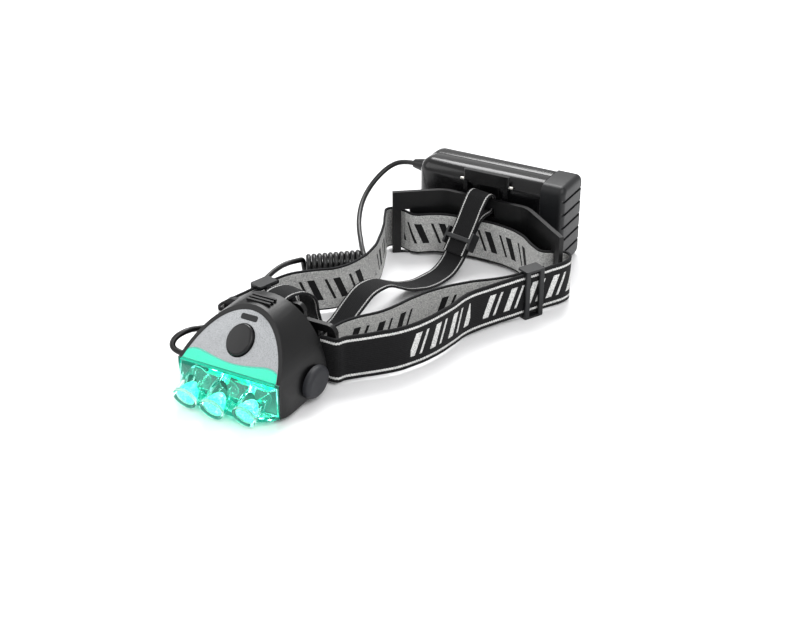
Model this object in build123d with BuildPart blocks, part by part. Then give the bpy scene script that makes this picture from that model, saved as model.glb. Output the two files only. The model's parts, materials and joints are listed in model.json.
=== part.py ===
"""Headlamp with a 25 mm headband, an overhead strap and a battery pack at the back.

The lamp faces -Y, the battery pack is at +Y and the band stands on its edge on the surface z = 0.
Every size is in millimetres.
"""

from build123d import *
import math
import os

os.makedirs("parts", exist_ok=True)

# ---------------------------------------------------------------- driving dimensions
# lamp head, in its own frame: y runs back from the lens fronts, z up from the surface
HEAD_X = -32.0  # middle of the lamp head
HEAD_Y = -125.5  # front of the lamp head
ORIGIN_SHIFT = 3.9  # puts the origin midway between the lens fronts and the pack
HEAD_HALF = 31.0  # half the width of the shell
HEAD_TOP = 45.0
HEAD_BOTTOM = 2.5
HEAD_REAR = 50.0
SPRING_LINE = 8.0  # height at which the arch starts
SHELL_WALL = 2.0
SILL_Y = 11.5  # lower end of the leaning face
SILL_Z = 21.0
BROW_Y = 35.5  # upper end of the leaning face
PLATE_WALL = 2.0  # silver face cover
WINDOW_WALL = 1.6
WINDOW_NOSE = 1.5  # front of the window
NOSE_ROUND = 17.0  # round of the lamp's front corners, seen from above
GASKET = 0.8

PIVOT_R = 4.5
PIN_D = 3.0
PIN_FIT = 0.05  # running clearance on the radius
LUG_IN = 14.0
LUG_WIDTH = 4.0
SIDE_GAP = 0.5  # beside each lug
TILT_GAP = 1.5  # above and in front of a lug

BARREL_D = 12.6
BARREL_WALL = 1.3
BARREL_PITCH = 17.0
BARREL_LENGTH = 16.0
BARREL_FRONT = -4.5  # front of the middle barrel
BARREL_HEIGHT = 7.2  # middle of each barrel's front
BARREL_STEP = 2.0  # how far back the outer barrels stand
BARREL_FALL = 20.0  # degrees below the horizontal
LED_D = 5.0
BUTTON_W = 14.0
BUTTON_H = 16.5
BUTTON_PROUD = 1.8
BUTTON_TRAVEL = 1.0
BUTTON_GAP = 0.35

# straps
BAND_WIDTH = 25.0
BAND_THICK = 1.4
BAND_FOOT = 1.6  # height of the band's lower edge
TOP_WIDTH = 15.0
TOP_THICK = 1.2
BUCKLE_LONG = 12.0
BUCKLE_WALL = 1.8
BUCKLE_RAIL = 1.2
BUCKLE_GAP = 0.4

# bracket behind the lamp
PLATE_Y = HEAD_Y + 55.5
PLATE_THICK = 3.0
BRACKET_HALF = 33.0
BRACKET_TOP = 39.0
SLOT_WIDE = 5.0
SLOT_SPARE = 0.8  # above and below a strap in its slot

# cradle and battery pack
CRADLE_Y = 88.5
CRADLE_THICK = 2.5
CRADLE_TOP = 38.0
PACK_X0 = -44.0
CELL_LONG = 49.5
CELL_ENDS = 28.5  # driver board, springs and contact plate beyond the cells
PACK_LENGTH = CELL_LONG + CELL_ENDS
DOOR_LENGTH = 14.0
PACK_Y0 = CRADLE_Y + 7.0
PACK_DEPTH = 28.0
PACK_HEIGHT = 50.0
PACK_WALL = 2.0
PACK_ROUND = 5.0
CELL_D = 14.2
CELL_PITCH = 14.9
CELL_X = -21.5

CABLE_D = 3.0
CURL_D = 14.0

PACK_X1 = PACK_X0 + PACK_LENGTH
PACK_MID_Y = PACK_Y0 + PACK_DEPTH / 2
PIVOT_Y = HEAD_REAR - PIVOT_R
PIVOT_Z = HEAD_BOTTOM + PIVOT_R


def finish(block, name):
    """Label a finished piece, move it to the object's own origin and write it."""
    placed = block.part.moved(Location((0, ORIGIN_SHIFT, 0)))
    placed.label = name
    export_step(placed, f"parts/{name}.step")


# ---------------------------------------------------------------- lamp head
side_plane = Plane(origin=(HEAD_X, HEAD_Y, 0), x_dir=(0, 1, 0), z_dir=(1, 0, 0))
front_plane = Plane(origin=(HEAD_X, HEAD_Y, 0), x_dir=(1, 0, 0), z_dir=(0, -1, 0))
lean = Vector(0, BROW_Y - SILL_Y, HEAD_TOP - SILL_Z).normalized()
face_normal = Vector(0, -lean.Z, lean.Y)
FACE_MID = 15.5  # from the sill up the face to the middle of the button


def face_plane(along, out):
    """The leaning face's plane, moved up along the face and out along its normal."""
    origin = Vector(HEAD_X, HEAD_Y + SILL_Y, SILL_Z) + lean * along + face_normal * out
    return Plane(origin=origin, x_dir=(1, 0, 0), z_dir=face_normal)


def lamp_form(points, inset):
    """The side outline across the lamp, kept inside the arch outline."""
    with BuildPart() as form:
        with BuildSketch(side_plane) as side:
            with BuildLine():
                Polyline(*points, close=True)
            make_face()
        extrude(amount=HEAD_HALF, both=True)
        with BuildSketch(front_plane) as front:
            with BuildLine():
                half = HEAD_HALF - inset
                arc_height = HEAD_TOP - inset - SPRING_LINE
                EllipticalCenterArc((0, SPRING_LINE), half, arc_height, start_angle=0, arc_size=180)
                Polyline(
                    (-half, SPRING_LINE),
                    (-half, HEAD_BOTTOM + inset),
                    (half, HEAD_BOTTOM + inset),
                    (half, SPRING_LINE),
                )
            make_face()
        extrude(amount=-HEAD_REAR - HEAD_HALF, mode=Mode.INTERSECT)
        with BuildSketch(Plane(origin=(HEAD_X, HEAD_Y, HEAD_BOTTOM))) as plan:
            with Locations((0, WINDOW_NOSE + inset + HEAD_REAR)):
                Rectangle(2 * half, 2 * HEAD_REAR)
            fillet(plan.vertices().group_by(Axis.Y)[0], NOSE_ROUND - inset)
        extrude(amount=HEAD_TOP, mode=Mode.INTERSECT)
    return form.part


def barrel_planes():
    """The planes of the three lens barrels' back ends."""
    fall = math.radians(BARREL_FALL)
    aim = Vector(0, -math.cos(fall), -math.sin(fall))
    places = []
    for column in (-1, 0, 1):
        step_back = BARREL_STEP * abs(column)
        places.append((column * BARREL_PITCH, BARREL_FRONT + step_back, BARREL_HEIGHT))
    planes = []
    for x, y, z in places:
        front = Vector(HEAD_X + x, HEAD_Y + y, z)
        planes.append(Plane(origin=front - aim * BARREL_LENGTH, x_dir=(1, 0, 0), z_dir=aim))
    return planes


barrels_at = barrel_planes()

shell_outer = [
    (SILL_Y, HEAD_BOTTOM),
    (HEAD_REAR, HEAD_BOTTOM),
    (HEAD_REAR, HEAD_TOP),
    (BROW_Y, HEAD_TOP),
    (SILL_Y, SILL_Z),
]
rear_inner = HEAD_REAR - SHELL_WALL
floor_inner = HEAD_BOTTOM + SHELL_WALL
shell_inner = [
    (SILL_Y - 20, floor_inner),
    (rear_inner, floor_inner),
    (rear_inner, HEAD_TOP),
    (BROW_Y - 20, HEAD_TOP),
    (SILL_Y - 20, SILL_Z),
]

with BuildPart() as lamp_shell:
    add(lamp_form(shell_outer, 0))
    add(lamp_form(shell_inner, SHELL_WALL), mode=Mode.SUBTRACT)
    # solid hinge barrel along the lower rear edge
    with BuildSketch(side_plane):
        with Locations((PIVOT_Y, PIVOT_Z)):
            Circle(PIVOT_R)
    extrude(amount=23, both=True)
    with BuildSketch(side_plane):
        with Locations((PIVOT_Y + PIVOT_R / 2, HEAD_BOTTOM + PIVOT_R / 2)):
            Rectangle(PIVOT_R, PIVOT_R)
        with Locations((PIVOT_Y, PIVOT_Z)):
            Circle(PIVOT_R, mode=Mode.SUBTRACT)
    extrude(amount=HEAD_HALF + 1, both=True, mode=Mode.SUBTRACT)
    with BuildSketch(side_plane):
        with Locations((PIVOT_Y, PIVOT_Z)):
            Circle(PIN_D / 2 + PIN_FIT)
    extrude(amount=24.5, both=True, mode=Mode.SUBTRACT)
    for side in (-1, 1):
        middle = side * (LUG_IN + LUG_WIDTH / 2)
        with BuildSketch(side_plane.offset(middle)):
            with Locations((PIVOT_Y, HEAD_BOTTOM)):
                Rectangle(2 * (PIVOT_R + TILT_GAP), 2 * (2 * PIVOT_R + TILT_GAP))
        extrude(amount=LUG_WIDTH / 2 + SIDE_GAP, both=True, mode=Mode.SUBTRACT)
    # three grip ribs across the top
    for rib in range(3):
        with BuildSketch(Plane.XY.offset(HEAD_TOP - 0.6)):
            with Locations((HEAD_X, HEAD_Y + BROW_Y + 3.5 + 2.6 * rib)):
                RectangleRounded(14, 1.3, 0.6)
        extrude(amount=1.3)
    # opening for the cable gland in the left flank
    with BuildSketch(side_plane.offset(-HEAD_HALF + 4)):
        with Locations((22, 15)):
            Circle(3.0)
    extrude(amount=-6, mode=Mode.SUBTRACT)
finish(lamp_shell, "lamp_shell")

cover_points = [
    (SILL_Y, SILL_Z),
    (SILL_Y + 40 * lean.Y, SILL_Z + 40 * lean.Z),
    (
        SILL_Y + 40 * lean.Y - PLATE_WALL * face_normal.Y,
        SILL_Z + 40 * lean.Z - PLATE_WALL * face_normal.Z,
    ),
    (SILL_Y - PLATE_WALL * face_normal.Y, SILL_Z - PLATE_WALL * face_normal.Z),
]
with BuildPart() as face_cover:
    add(lamp_form(cover_points, SHELL_WALL))
    with BuildSketch(face_plane(FACE_MID, 1)):
        Ellipse(BUTTON_W / 2 + BUTTON_GAP, BUTTON_H / 2 + BUTTON_GAP)
    extrude(amount=-6, mode=Mode.SUBTRACT)
finish(face_cover, "face_cover")

gasket_points = [
    (SILL_Y - GASKET, HEAD_BOTTOM),
    (SILL_Y, HEAD_BOTTOM),
    (SILL_Y, SILL_Z),
    (SILL_Y - GASKET, SILL_Z),
]
GASKET_LIP = 1.2  # width of the gasket along the floor and sides
gasket_inner = [
    (SILL_Y - GASKET - 1, HEAD_BOTTOM + GASKET_LIP),
    (SILL_Y + 1, HEAD_BOTTOM + GASKET_LIP),
    (SILL_Y + 1, SILL_Z - SHELL_WALL),
    (SILL_Y - GASKET - 1, SILL_Z - SHELL_WALL),
]
with BuildPart() as lens_gasket:
    add(lamp_form(gasket_points, 0))
    add(lamp_form(gasket_inner, GASKET_LIP), mode=Mode.SUBTRACT)
finish(lens_gasket, "lens_gasket")

window_y = SILL_Y - GASKET
WINDOW_CHIN = 13.0  # height at which the window starts to lean
window_outer = [
    (window_y, HEAD_BOTTOM),
    (window_y, SILL_Z),
    (window_y - 3, SILL_Z - 1.5),
    (WINDOW_NOSE, WINDOW_CHIN),
    (WINDOW_NOSE, HEAD_BOTTOM),
]
window_inner = [
    (window_y + 1, HEAD_BOTTOM + WINDOW_WALL),
    (window_y + 1, SILL_Z - WINDOW_WALL),
    (window_y - 2.5, SILL_Z - 1.5 - WINDOW_WALL),
    (WINDOW_NOSE + WINDOW_WALL, WINDOW_CHIN - WINDOW_WALL / 2),
    (WINDOW_NOSE + WINDOW_WALL, HEAD_BOTTOM + WINDOW_WALL),
]
with BuildPart() as lens_window:
    add(lamp_form(window_outer, 0.3))
    add(lamp_form(window_inner, WINDOW_WALL + 0.3), mode=Mode.SUBTRACT)
    for place in barrels_at:
        with BuildSketch(place.offset(-6)):
            Circle(BARREL_D / 2 + 0.15)
        extrude(amount=BARREL_LENGTH + 16, mode=Mode.SUBTRACT)
finish(lens_window, "lens_window")

with BuildPart() as lens_barrels:
    for place in barrels_at:
        with BuildSketch(place):
            Circle(BARREL_D / 2)
        extrude(amount=BARREL_LENGTH)
        with BuildSketch(place):
            Circle(BARREL_D / 2 - BARREL_WALL)
        extrude(amount=BARREL_LENGTH - 2.2, mode=Mode.SUBTRACT)
finish(lens_barrels, "lens_barrels")

# the board stands square to the barrels, behind their back ends
board_plane = Plane(
    origin=(HEAD_X, HEAD_Y + 23.0, 17.2),
    x_dir=(1, 0, 0),
    z_dir=barrels_at[0].z_dir,
)
UPPER_LED = 3.2  # height of the two upper LEDs above the board's middle line
led_seats = [(-BARREL_PITCH / 2, UPPER_LED), (BARREL_PITCH / 2, UPPER_LED)]
for place in barrels_at:
    local = board_plane.to_local_coords(place.origin)
    led_seats.append((local.X, local.Y))

with BuildPart() as led_board:
    with BuildSketch(board_plane):
        with Locations((0, -3.0)):
            RectangleRounded(46, 15.5, 3)
    extrude(amount=-1.6)
finish(led_board, "led_board")

with BuildPart() as leds:
    for x, y in led_seats:
        with BuildSketch(board_plane):
            with Locations((x, y)):
                Circle(LED_D / 2 + 0.4)
        extrude(amount=0.8)
        with BuildSketch(board_plane.offset(0.8)):
            with Locations((x, y)):
                Circle(LED_D / 2)
        extrude(amount=2.4)
finish(leds, "leds")

with BuildPart() as reflector_tray:
    with BuildSketch(board_plane.offset(0.05)):
        with Locations((0, -3.2)):
            RectangleRounded(45, 15, 3)
        for x, y in led_seats:
            with Locations((x, y)):
                Circle(LED_D / 2 + 0.7, mode=Mode.SUBTRACT)
    extrude(amount=1.2)
finish(reflector_tray, "reflector_tray")

with BuildPart() as power_button:
    with BuildSketch(face_plane(FACE_MID, BUTTON_PROUD)):
        Ellipse(BUTTON_W / 2, BUTTON_H / 2)
    extrude(amount=-BUTTON_PROUD - PLATE_WALL - 1.4)
    fillet(power_button.faces().sort_by(Axis(power_button.part.center(), face_normal))[-1].edges(), 1.2)
    with BuildSketch(face_plane(FACE_MID, -PLATE_WALL - 0.4)):
        Ellipse(BUTTON_W / 2 + 1.5, BUTTON_H / 2 + 1.5)
    extrude(amount=-1.0)
    with BuildSketch(face_plane(FACE_MID, -PLATE_WALL - 1.4)):
        Circle(1.6)
    extrude(amount=-1.4)
finish(power_button, "power_button")

switch_depth = PLATE_WALL + 1.4 + 1.4 + BUTTON_TRAVEL + 0.3
with BuildPart() as tact_switch:
    with BuildSketch(face_plane(FACE_MID, -switch_depth)):
        Circle(1.4)
    extrude(amount=-0.8)
    with BuildSketch(face_plane(FACE_MID, -switch_depth - 0.8)):
        Rectangle(6, 6)
    extrude(amount=-2.4)
finish(tact_switch, "tact_switch")

with BuildPart() as switch_board:
    with BuildSketch(face_plane(FACE_MID, -switch_depth - 3.2)):
        RectangleRounded(22, 13, 2)
    extrude(amount=-1.2)
finish(switch_board, "switch_board")

PAD_Y = 37.0
PAD_Z = 10.5
for side, name in ((-1, "side_pad_left"), (1, "side_pad_right")):
    with BuildPart() as side_pad:
        with BuildSketch(side_plane.offset(side * HEAD_HALF)):
            with Locations((PAD_Y, PAD_Z)):
                Ellipse(10, 8)
        extrude(amount=side * 4.0)
        outer_face = side_pad.faces().sort_by(Axis.X)[-1 if side > 0 else 0]
        fillet(outer_face.edges(), 2.5)
        add(lamp_form(shell_outer, 0), mode=Mode.SUBTRACT)
    finish(side_pad, name)

gland_plane = side_plane.offset(-HEAD_HALF - 2.0)
with BuildPart() as cable_gland:
    with BuildSketch(gland_plane):
        with Locations((22, 15)):
            Circle(2.9)
    extrude(amount=8)
    with BuildSketch(gland_plane):
        with Locations((22, 15)):
            Circle(3.9)
    extrude(amount=1.5)
    chamfer(cable_gland.faces().sort_by(Axis.X)[0].edges(), 0.6)
finish(cable_gland, "cable_gland")

# ---------------------------------------------------------------- bracket, hinge and pad
def ribbon(points, thick, width, bottom, reach=0.45):
    """A strap on edge: straight runs with tangent bends, as thick as its webbing."""
    with BuildPart() as strap:
        with BuildSketch(Plane.XY.offset(bottom)):
            with BuildLine(mode=Mode.PRIVATE) as route:
                FilletPolyline(*points, radius=bend_radii(points, reach))
            trace(route.line, line_width=thick)
        extrude(amount=width)
    return strap


def bend_radii(points, reach=0.45):
    """The largest tangent arc at each corner that uses the given share of the shorter run."""
    radii = []
    corners = [Vector(*p) for p in points]
    for before, at, after in zip(corners, corners[1:], corners[2:]):
        come = at - before
        leave = after - at
        turn = math.radians(come.get_angle(leave))
        radii.append(reach * min(come.length, leave.length) / math.tan(turn / 2))
    return radii


slot_z = BAND_FOOT + BAND_WIDTH / 2
slot_high = BAND_WIDTH + 2 * SLOT_SPARE
SLOT_X = BRACKET_HALF - 7.5  # middle of each side slot from the lamp's middle
bracket_plane = Plane(origin=(HEAD_X, PLATE_Y, 0), x_dir=(1, 0, 0), z_dir=(0, -1, 0))
TOP_SLOT_Z = 32.0
TOP_SLOT_HIGH = 4.6
with BuildPart() as head_bracket:
    with BuildSketch(bracket_plane):
        with Locations((0, 16)):
            RectangleRounded(2 * BRACKET_HALF, 31, 5)
        with Locations((0, BRACKET_TOP - 8)):
            RectangleRounded(30, 16, 4)
        for side in (-1, 1):
            with Locations((side * SLOT_X, slot_z)):
                Rectangle(SLOT_WIDE, slot_high, mode=Mode.SUBTRACT)
        with Locations((0, TOP_SLOT_Z)):
            Rectangle(TOP_WIDTH + 3.5, TOP_SLOT_HIGH, mode=Mode.SUBTRACT)
    extrude(amount=-PLATE_THICK)
    for side in (-1, 1):
        with BuildSketch(side_plane.offset(side * (LUG_IN + LUG_WIDTH / 2))):
            with Locations((PIVOT_Y, PIVOT_Z)):
                Circle(PIVOT_R)
            with Locations(((PIVOT_Y + PLATE_Y - HEAD_Y) / 2 + 0.5, PIVOT_Z)):
                Rectangle(PLATE_Y - HEAD_Y - PIVOT_Y + 1, 2 * PIVOT_R)
            with Locations((PIVOT_Y, PIVOT_Z)):
                Circle(PIN_D / 2, mode=Mode.SUBTRACT)
        extrude(amount=LUG_WIDTH / 2, both=True)
finish(head_bracket, "head_bracket")

with BuildPart() as hinge_pin:
    with BuildSketch(side_plane):
        with Locations((PIVOT_Y, PIVOT_Z)):
            Circle(PIN_D / 2)
    extrude(amount=22.5, both=True)
finish(hinge_pin, "hinge_pin")

PAD_THICK = 6.5
with BuildPart() as forehead_pad:
    with BuildSketch(bracket_plane.offset(-PLATE_THICK)):
        with Locations((0, 13.5)):
            RectangleRounded(42, 20, 4)
    extrude(amount=-PAD_THICK)
    fillet(forehead_pad.faces().sort_by(Axis.Y)[-1].edges(), 2)
finish(forehead_pad, "forehead_pad")

# ---------------------------------------------------------------- headband
near_slot_x = HEAD_X + SLOT_X
near_bar_x = HEAD_X + BRACKET_HALF
wrap_front = PLATE_Y - 2.0
SLIDE_A = (42.0, 14.0)  # ends of the near band's straight run
SLIDE_B = (62.0, CRADLE_Y - 36.5)
CORNER_R = (55.6, CRADLE_Y - 20.4)  # where the band passes the right slot
CORNER_L = (-40.4, CRADLE_Y - 13.4)  # where the band passes the left slot
near_outer_route = [
    (near_slot_x, wrap_front),
    (near_bar_x + 2.0, wrap_front),
    (near_bar_x + 3.0, PLATE_Y + 2),
    (13, -59),
    (24, -47),
    (31, -32),
    (35, -14),
    (36.5, 2),
    SLIDE_A,
    SLIDE_B,
    (65.8, CRADLE_Y - 30.0),
    (67, CRADLE_Y - 22.5),
    (62, CRADLE_Y - 17.0),
    CORNER_R,
]
headband_near_outer = ribbon(near_outer_route, BAND_THICK, BAND_WIDTH, BAND_FOOT)
finish(headband_near_outer, "headband_near_outer")

slide_run = Vector(SLIDE_B[0] - SLIDE_A[0], SLIDE_B[1] - SLIDE_A[1]).normalized()
slide_side = Vector(-slide_run.Y, slide_run.X)  # towards the inside of the band
LAYER_STEP = 2.2
slide_mid = Vector(*SLIDE_A) * 0.31 + Vector(*SLIDE_B) * 0.69
inner_end = slide_mid + slide_run * 9 + slide_side * LAYER_STEP
inner_start = slide_mid - slide_run * 13 + slide_side * LAYER_STEP
near_inner_route = [
    (near_slot_x, wrap_front + BAND_THICK / 2),
    (near_slot_x, PLATE_Y + 7),
    (-3, -50),
    (8, -36),
    (13, -18),
    (19.5, -1),
    (31, 14),
    (inner_start.X, inner_start.Y),
    (inner_end.X, inner_end.Y),
]
headband_near_inner = ribbon(near_inner_route, BAND_THICK, BAND_WIDTH, BAND_FOOT)
finish(headband_near_inner, "headband_near_inner")

rear_route = [
    CORNER_R,
    (49.2, CRADLE_Y - 23.8),
    (42, CRADLE_Y - 19),
    (30, CRADLE_Y - 8),
    (15, CRADLE_Y - 4.1),
    (-4, CRADLE_Y - 4.2),
    (-22, CRADLE_Y - 7.5),
    (-33, CRADLE_Y - 16),
    CORNER_L,
]
headband_rear = ribbon(rear_route, BAND_THICK, BAND_WIDTH, BAND_FOOT)
finish(headband_rear, "headband_rear")

far_slot_x = HEAD_X - SLOT_X
far_bar_x = HEAD_X - BRACKET_HALF
FAR_A = (-56.5, -24.0)  # ends of the far band's straight run
FAR_B = (-65.0, -54.0)
far_route = [
    CORNER_L,
    (-47, CRADLE_Y - 11.1),
    (-51.5, CRADLE_Y - 16),
    (-47, CRADLE_Y - 25),
    (-40, 49),
    (-33, 30),
    (-31, 12),
    (-36, -5),
    (-48, -15),
    FAR_A,
    FAR_B,
    (far_bar_x - 3.0, PLATE_Y + 2),
    (far_bar_x - 2.0, wrap_front),
    (far_slot_x, wrap_front),
]
headband_far = ribbon(far_route, BAND_THICK, BAND_WIDTH, BAND_FOOT)
finish(headband_far, "headband_far")

far_run = Vector(FAR_B[0] - FAR_A[0], FAR_B[1] - FAR_A[1]).normalized()
far_side = Vector(-far_run.Y, far_run.X)  # towards the inside of the band
far_mid = Vector(*FAR_A) * 0.45 + Vector(*FAR_B) * 0.55
far_end = far_mid - far_run * 9 + far_side * LAYER_STEP
far_start = far_mid + far_run * 9 + far_side * LAYER_STEP
far_tail_route = [
    (far_end.X, far_end.Y),
    (far_start.X, far_start.Y),
    (far_slot_x, PLATE_Y + 7),
    (far_slot_x, wrap_front + BAND_THICK / 2),
]
headband_far_tail = ribbon(far_tail_route, BAND_THICK, BAND_WIDTH, BAND_FOOT)
finish(headband_far_tail, "headband_far_tail")


# ---------------------------------------------------------------- slide buckles
def slide_buckle(plane, high):
    """A slide with two outer bars, a middle bar behind the layers, and two rails."""
    inner_low = -LAYER_STEP - BAND_THICK / 2 - BUCKLE_GAP - BUCKLE_WALL
    outer_high = BAND_THICK / 2 + BUCKLE_GAP + BUCKLE_WALL
    with BuildPart() as slide:
        for level in (-high / 2 - BUCKLE_GAP - BUCKLE_RAIL, high / 2 + BUCKLE_GAP):
            with BuildSketch(plane.offset(level)):
                with Locations((0, (inner_low + outer_high) / 2)):
                    RectangleRounded(BUCKLE_LONG, outer_high - inner_low, 0.9)
            extrude(amount=BUCKLE_RAIL)
        tall = high + 2 * BUCKLE_GAP + BUCKLE_RAIL
        with BuildSketch(plane.offset(-tall / 2)):
            for along in (-BUCKLE_LONG / 2 + 1.5, BUCKLE_LONG / 2 - 1.5):
                with Locations((along, outer_high - BUCKLE_WALL / 2)):
                    RectangleRounded(3.0, BUCKLE_WALL, 0.6)
            with Locations((0, inner_low + BUCKLE_WALL / 2)):
                RectangleRounded(3.4, BUCKLE_WALL, 0.6)
        extrude(amount=tall)
    return slide


band_mid_z = BAND_FOOT + BAND_WIDTH / 2
near_plane = Plane(origin=(slide_mid.X, slide_mid.Y, band_mid_z), x_dir=-slide_run, z_dir=(0, 0, 1))
near_buckle = slide_buckle(near_plane, BAND_WIDTH)
finish(near_buckle, "near_buckle")
far_plane = Plane(origin=(far_mid.X, far_mid.Y, band_mid_z), x_dir=-far_run, z_dir=(0, 0, 1))
far_buckle = slide_buckle(far_plane, BAND_WIDTH)
finish(far_buckle, "far_buckle")

# ---------------------------------------------------------------- overhead strap
TOP_START = Vector(HEAD_X, PLATE_Y + 1.0)
TOP_END = Vector(2.0, CRADLE_Y + 5.0)
top_run = (TOP_END - TOP_START).normalized()
top_plane = Plane(
    origin=(TOP_START.X, TOP_START.Y, 0),
    x_dir=(top_run.X, top_run.Y, 0),
    z_dir=(top_run.Y, -top_run.X, 0),
)
bar_s = (CRADLE_Y - TOP_START.Y) / top_run.Y  # where the cradle's top bar crosses
TOP_SLIDE_A = (bar_s - 24.1, 8.0)  # ends of the overhead strap's straight run, along it and up
TOP_SLIDE_B = (bar_s - 9.1, 27.5)
top_slide_run = Vector(TOP_SLIDE_B[0] - TOP_SLIDE_A[0], TOP_SLIDE_B[1] - TOP_SLIDE_A[1]).normalized()
top_slide_side = Vector(-top_slide_run.Y, top_slide_run.X)
TOP_STEP = 2.0
top_slide_mid = Vector(*TOP_SLIDE_A) * 0.5 + Vector(*TOP_SLIDE_B) * 0.5
tail_high = top_slide_mid + top_slide_run * 9 + top_slide_side * TOP_STEP
tail_low = top_slide_mid - top_slide_run * 9 + top_slide_side * TOP_STEP
top_route = [
    (10, 26.5),
    (5.8, 31.4),
    (-2.6, 32.0),
    (-4.7, 35.5),
    (-3.0, 40.8),
    (3, 41.3),
    (12, 39.5),
    (20, 33),
    (21, 22),
    (27, 8),
    (40, 3.5),
    (52, 12),
    (63, 18.5),
    (76, 18),
    (93, 8),
    (111, 2.5),
    (bar_s - 32.6, 2.8),
    TOP_SLIDE_A,
    TOP_SLIDE_B,
    (bar_s - 4.6, 30.0),
    (bar_s + 2.7, 30.4),
    (bar_s + 4.8, 34.6),
    (bar_s + 3.7, 40.6),
    (bar_s - 2.1, 41.0),
    (bar_s - 6.6, 35.5),
    (tail_high.X, tail_high.Y),
    (tail_low.X, tail_low.Y),
]
with BuildPart() as top_strap:
    with BuildSketch(top_plane.offset(-TOP_WIDTH / 2)):
        with BuildLine(mode=Mode.PRIVATE) as top_line:
            FilletPolyline(*top_route, radius=bend_radii(top_route))
        trace(top_line.line, line_width=TOP_THICK)
    extrude(amount=TOP_WIDTH)
finish(top_strap, "top_strap")

with BuildPart() as top_buckle:
    origin = top_plane.from_local_coords(top_slide_mid)
    run_3d = top_plane.from_local_coords(top_slide_mid + top_slide_run) - origin
    slide_at = Plane(origin=origin, x_dir=-run_3d, z_dir=top_plane.z_dir)
    inner_low = -TOP_STEP - TOP_THICK / 2 - BUCKLE_GAP - 1.4
    outer_high = TOP_THICK / 2 + BUCKLE_GAP + 1.4
    for level in (-TOP_WIDTH / 2 - BUCKLE_GAP - BUCKLE_RAIL, TOP_WIDTH / 2 + BUCKLE_GAP):
        with BuildSketch(slide_at.offset(level)):
            with Locations((0, (inner_low + outer_high) / 2)):
                RectangleRounded(10, outer_high - inner_low, 0.9)
        extrude(amount=BUCKLE_RAIL)
    top_tall = TOP_WIDTH + 2 * BUCKLE_GAP + BUCKLE_RAIL
    with BuildSketch(slide_at.offset(-top_tall / 2)):
        for along in (-3.8, 3.8):
            with Locations((along, outer_high - 0.7)):
                RectangleRounded(2.4, 1.4, 0.5)
        with Locations((0, inner_low + 0.7)):
            RectangleRounded(2.6, 1.4, 0.5)
    extrude(amount=top_tall)
finish(top_buckle, "top_buckle")

# ---------------------------------------------------------------- cradle
WING_R = (30.0, 62.0, CRADLE_Y - 26.0)  # where the right wing starts in x, and its end
WING_L = (-22.0, -46.0, CRADLE_Y - 18.0)
cradle_route = [
    (WING_L[1], WING_L[2]),
    (WING_L[0], CRADLE_Y),
    (WING_R[0], CRADLE_Y),
    (WING_R[1], WING_R[2]),
]


def wing_plane(start_x, end_x, end_y, slot_from_end):
    """The plane of a wing's slot, looking along the wing's normal."""
    run = Vector(end_x - start_x, end_y - CRADLE_Y).normalized()
    place = Vector(end_x, end_y) - run * slot_from_end
    return Plane(
        origin=(place.X, place.Y, band_mid_z),
        x_dir=(run.X, run.Y, 0),
        z_dir=(-run.Y, run.X, 0),
    )


SLOT_FROM_END = 8.2
right_slot = wing_plane(*WING_R, SLOT_FROM_END)
left_slot = wing_plane(*WING_L, SLOT_FROM_END - 0.8)
with BuildPart() as pack_cradle:
    with BuildSketch(Plane.XY.offset(0.3)):
        with BuildLine(mode=Mode.PRIVATE) as cradle_line:
            FilletPolyline(*cradle_route, radius=[14, 14])
        trace(cradle_line.line, line_width=CRADLE_THICK)
    extrude(amount=CRADLE_TOP)
    for slot_plane in (right_slot, left_slot):
        with BuildSketch(slot_plane):
            Rectangle(SLOT_WIDE, slot_high)
        extrude(amount=9, both=True, mode=Mode.SUBTRACT)
    with BuildSketch(Plane(origin=(TOP_END.X - 1.3, CRADLE_Y, 0), x_dir=(1, 0, 0), z_dir=(0, -1, 0))):
        with Locations((0, 30.5)):
            Rectangle(TOP_WIDTH + 4, 5.5)
    extrude(amount=4, both=True, mode=Mode.SUBTRACT)
    for rib_x in (-17.0, 21.0):
        with BuildSketch(Plane.XY.offset(4)):
            with Locations((rib_x, (CRADLE_Y + PACK_Y0) / 2)):
                Rectangle(4, PACK_Y0 - CRADLE_Y)
        extrude(amount=24)
finish(pack_cradle, "pack_cradle")

CRADLE_PAD = 1.6
with BuildPart() as cradle_pad:
    with BuildSketch(Plane.XY.offset(5)):
        with Locations((0, CRADLE_Y - CRADLE_THICK / 2 - CRADLE_PAD / 2)):
            RectangleRounded(30, CRADLE_PAD, 0.7)
    extrude(amount=19)
finish(cradle_pad, "cradle_pad")

# ---------------------------------------------------------------- battery pack
end_plane = Plane(origin=(PACK_X0, PACK_MID_Y, PACK_HEIGHT / 2), x_dir=(0, 1, 0), z_dir=(1, 0, 0))
SCREW_D = 2.4
SCREW_X = (PACK_X0 + 7.0, PACK_X1 - 6.0)
SCREW_Z = 25.0
parting = Plane(origin=(0, PACK_MID_Y, 0), x_dir=(1, 0, 0), z_dir=(0, -1, 0))
with BuildPart() as pack_body:
    with BuildSketch(end_plane):
        RectangleRounded(PACK_DEPTH, PACK_HEIGHT, PACK_ROUND)
    extrude(amount=PACK_LENGTH)
    fillet(pack_body.faces().sort_by(Axis.X)[0].edges(), 3)
    with BuildSketch(end_plane.offset(PACK_WALL + 1)):
        RectangleRounded(PACK_DEPTH - 2 * PACK_WALL, PACK_HEIGHT - 2 * PACK_WALL, PACK_ROUND - PACK_WALL)
    extrude(amount=PACK_LENGTH, mode=Mode.SUBTRACT)
    # wire hole at the left end
    with BuildSketch(end_plane.offset(-1)):
        with Locations((0, 15)):
            Circle(CABLE_D / 2 + 0.8)
    extrude(amount=6, mode=Mode.SUBTRACT)

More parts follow.
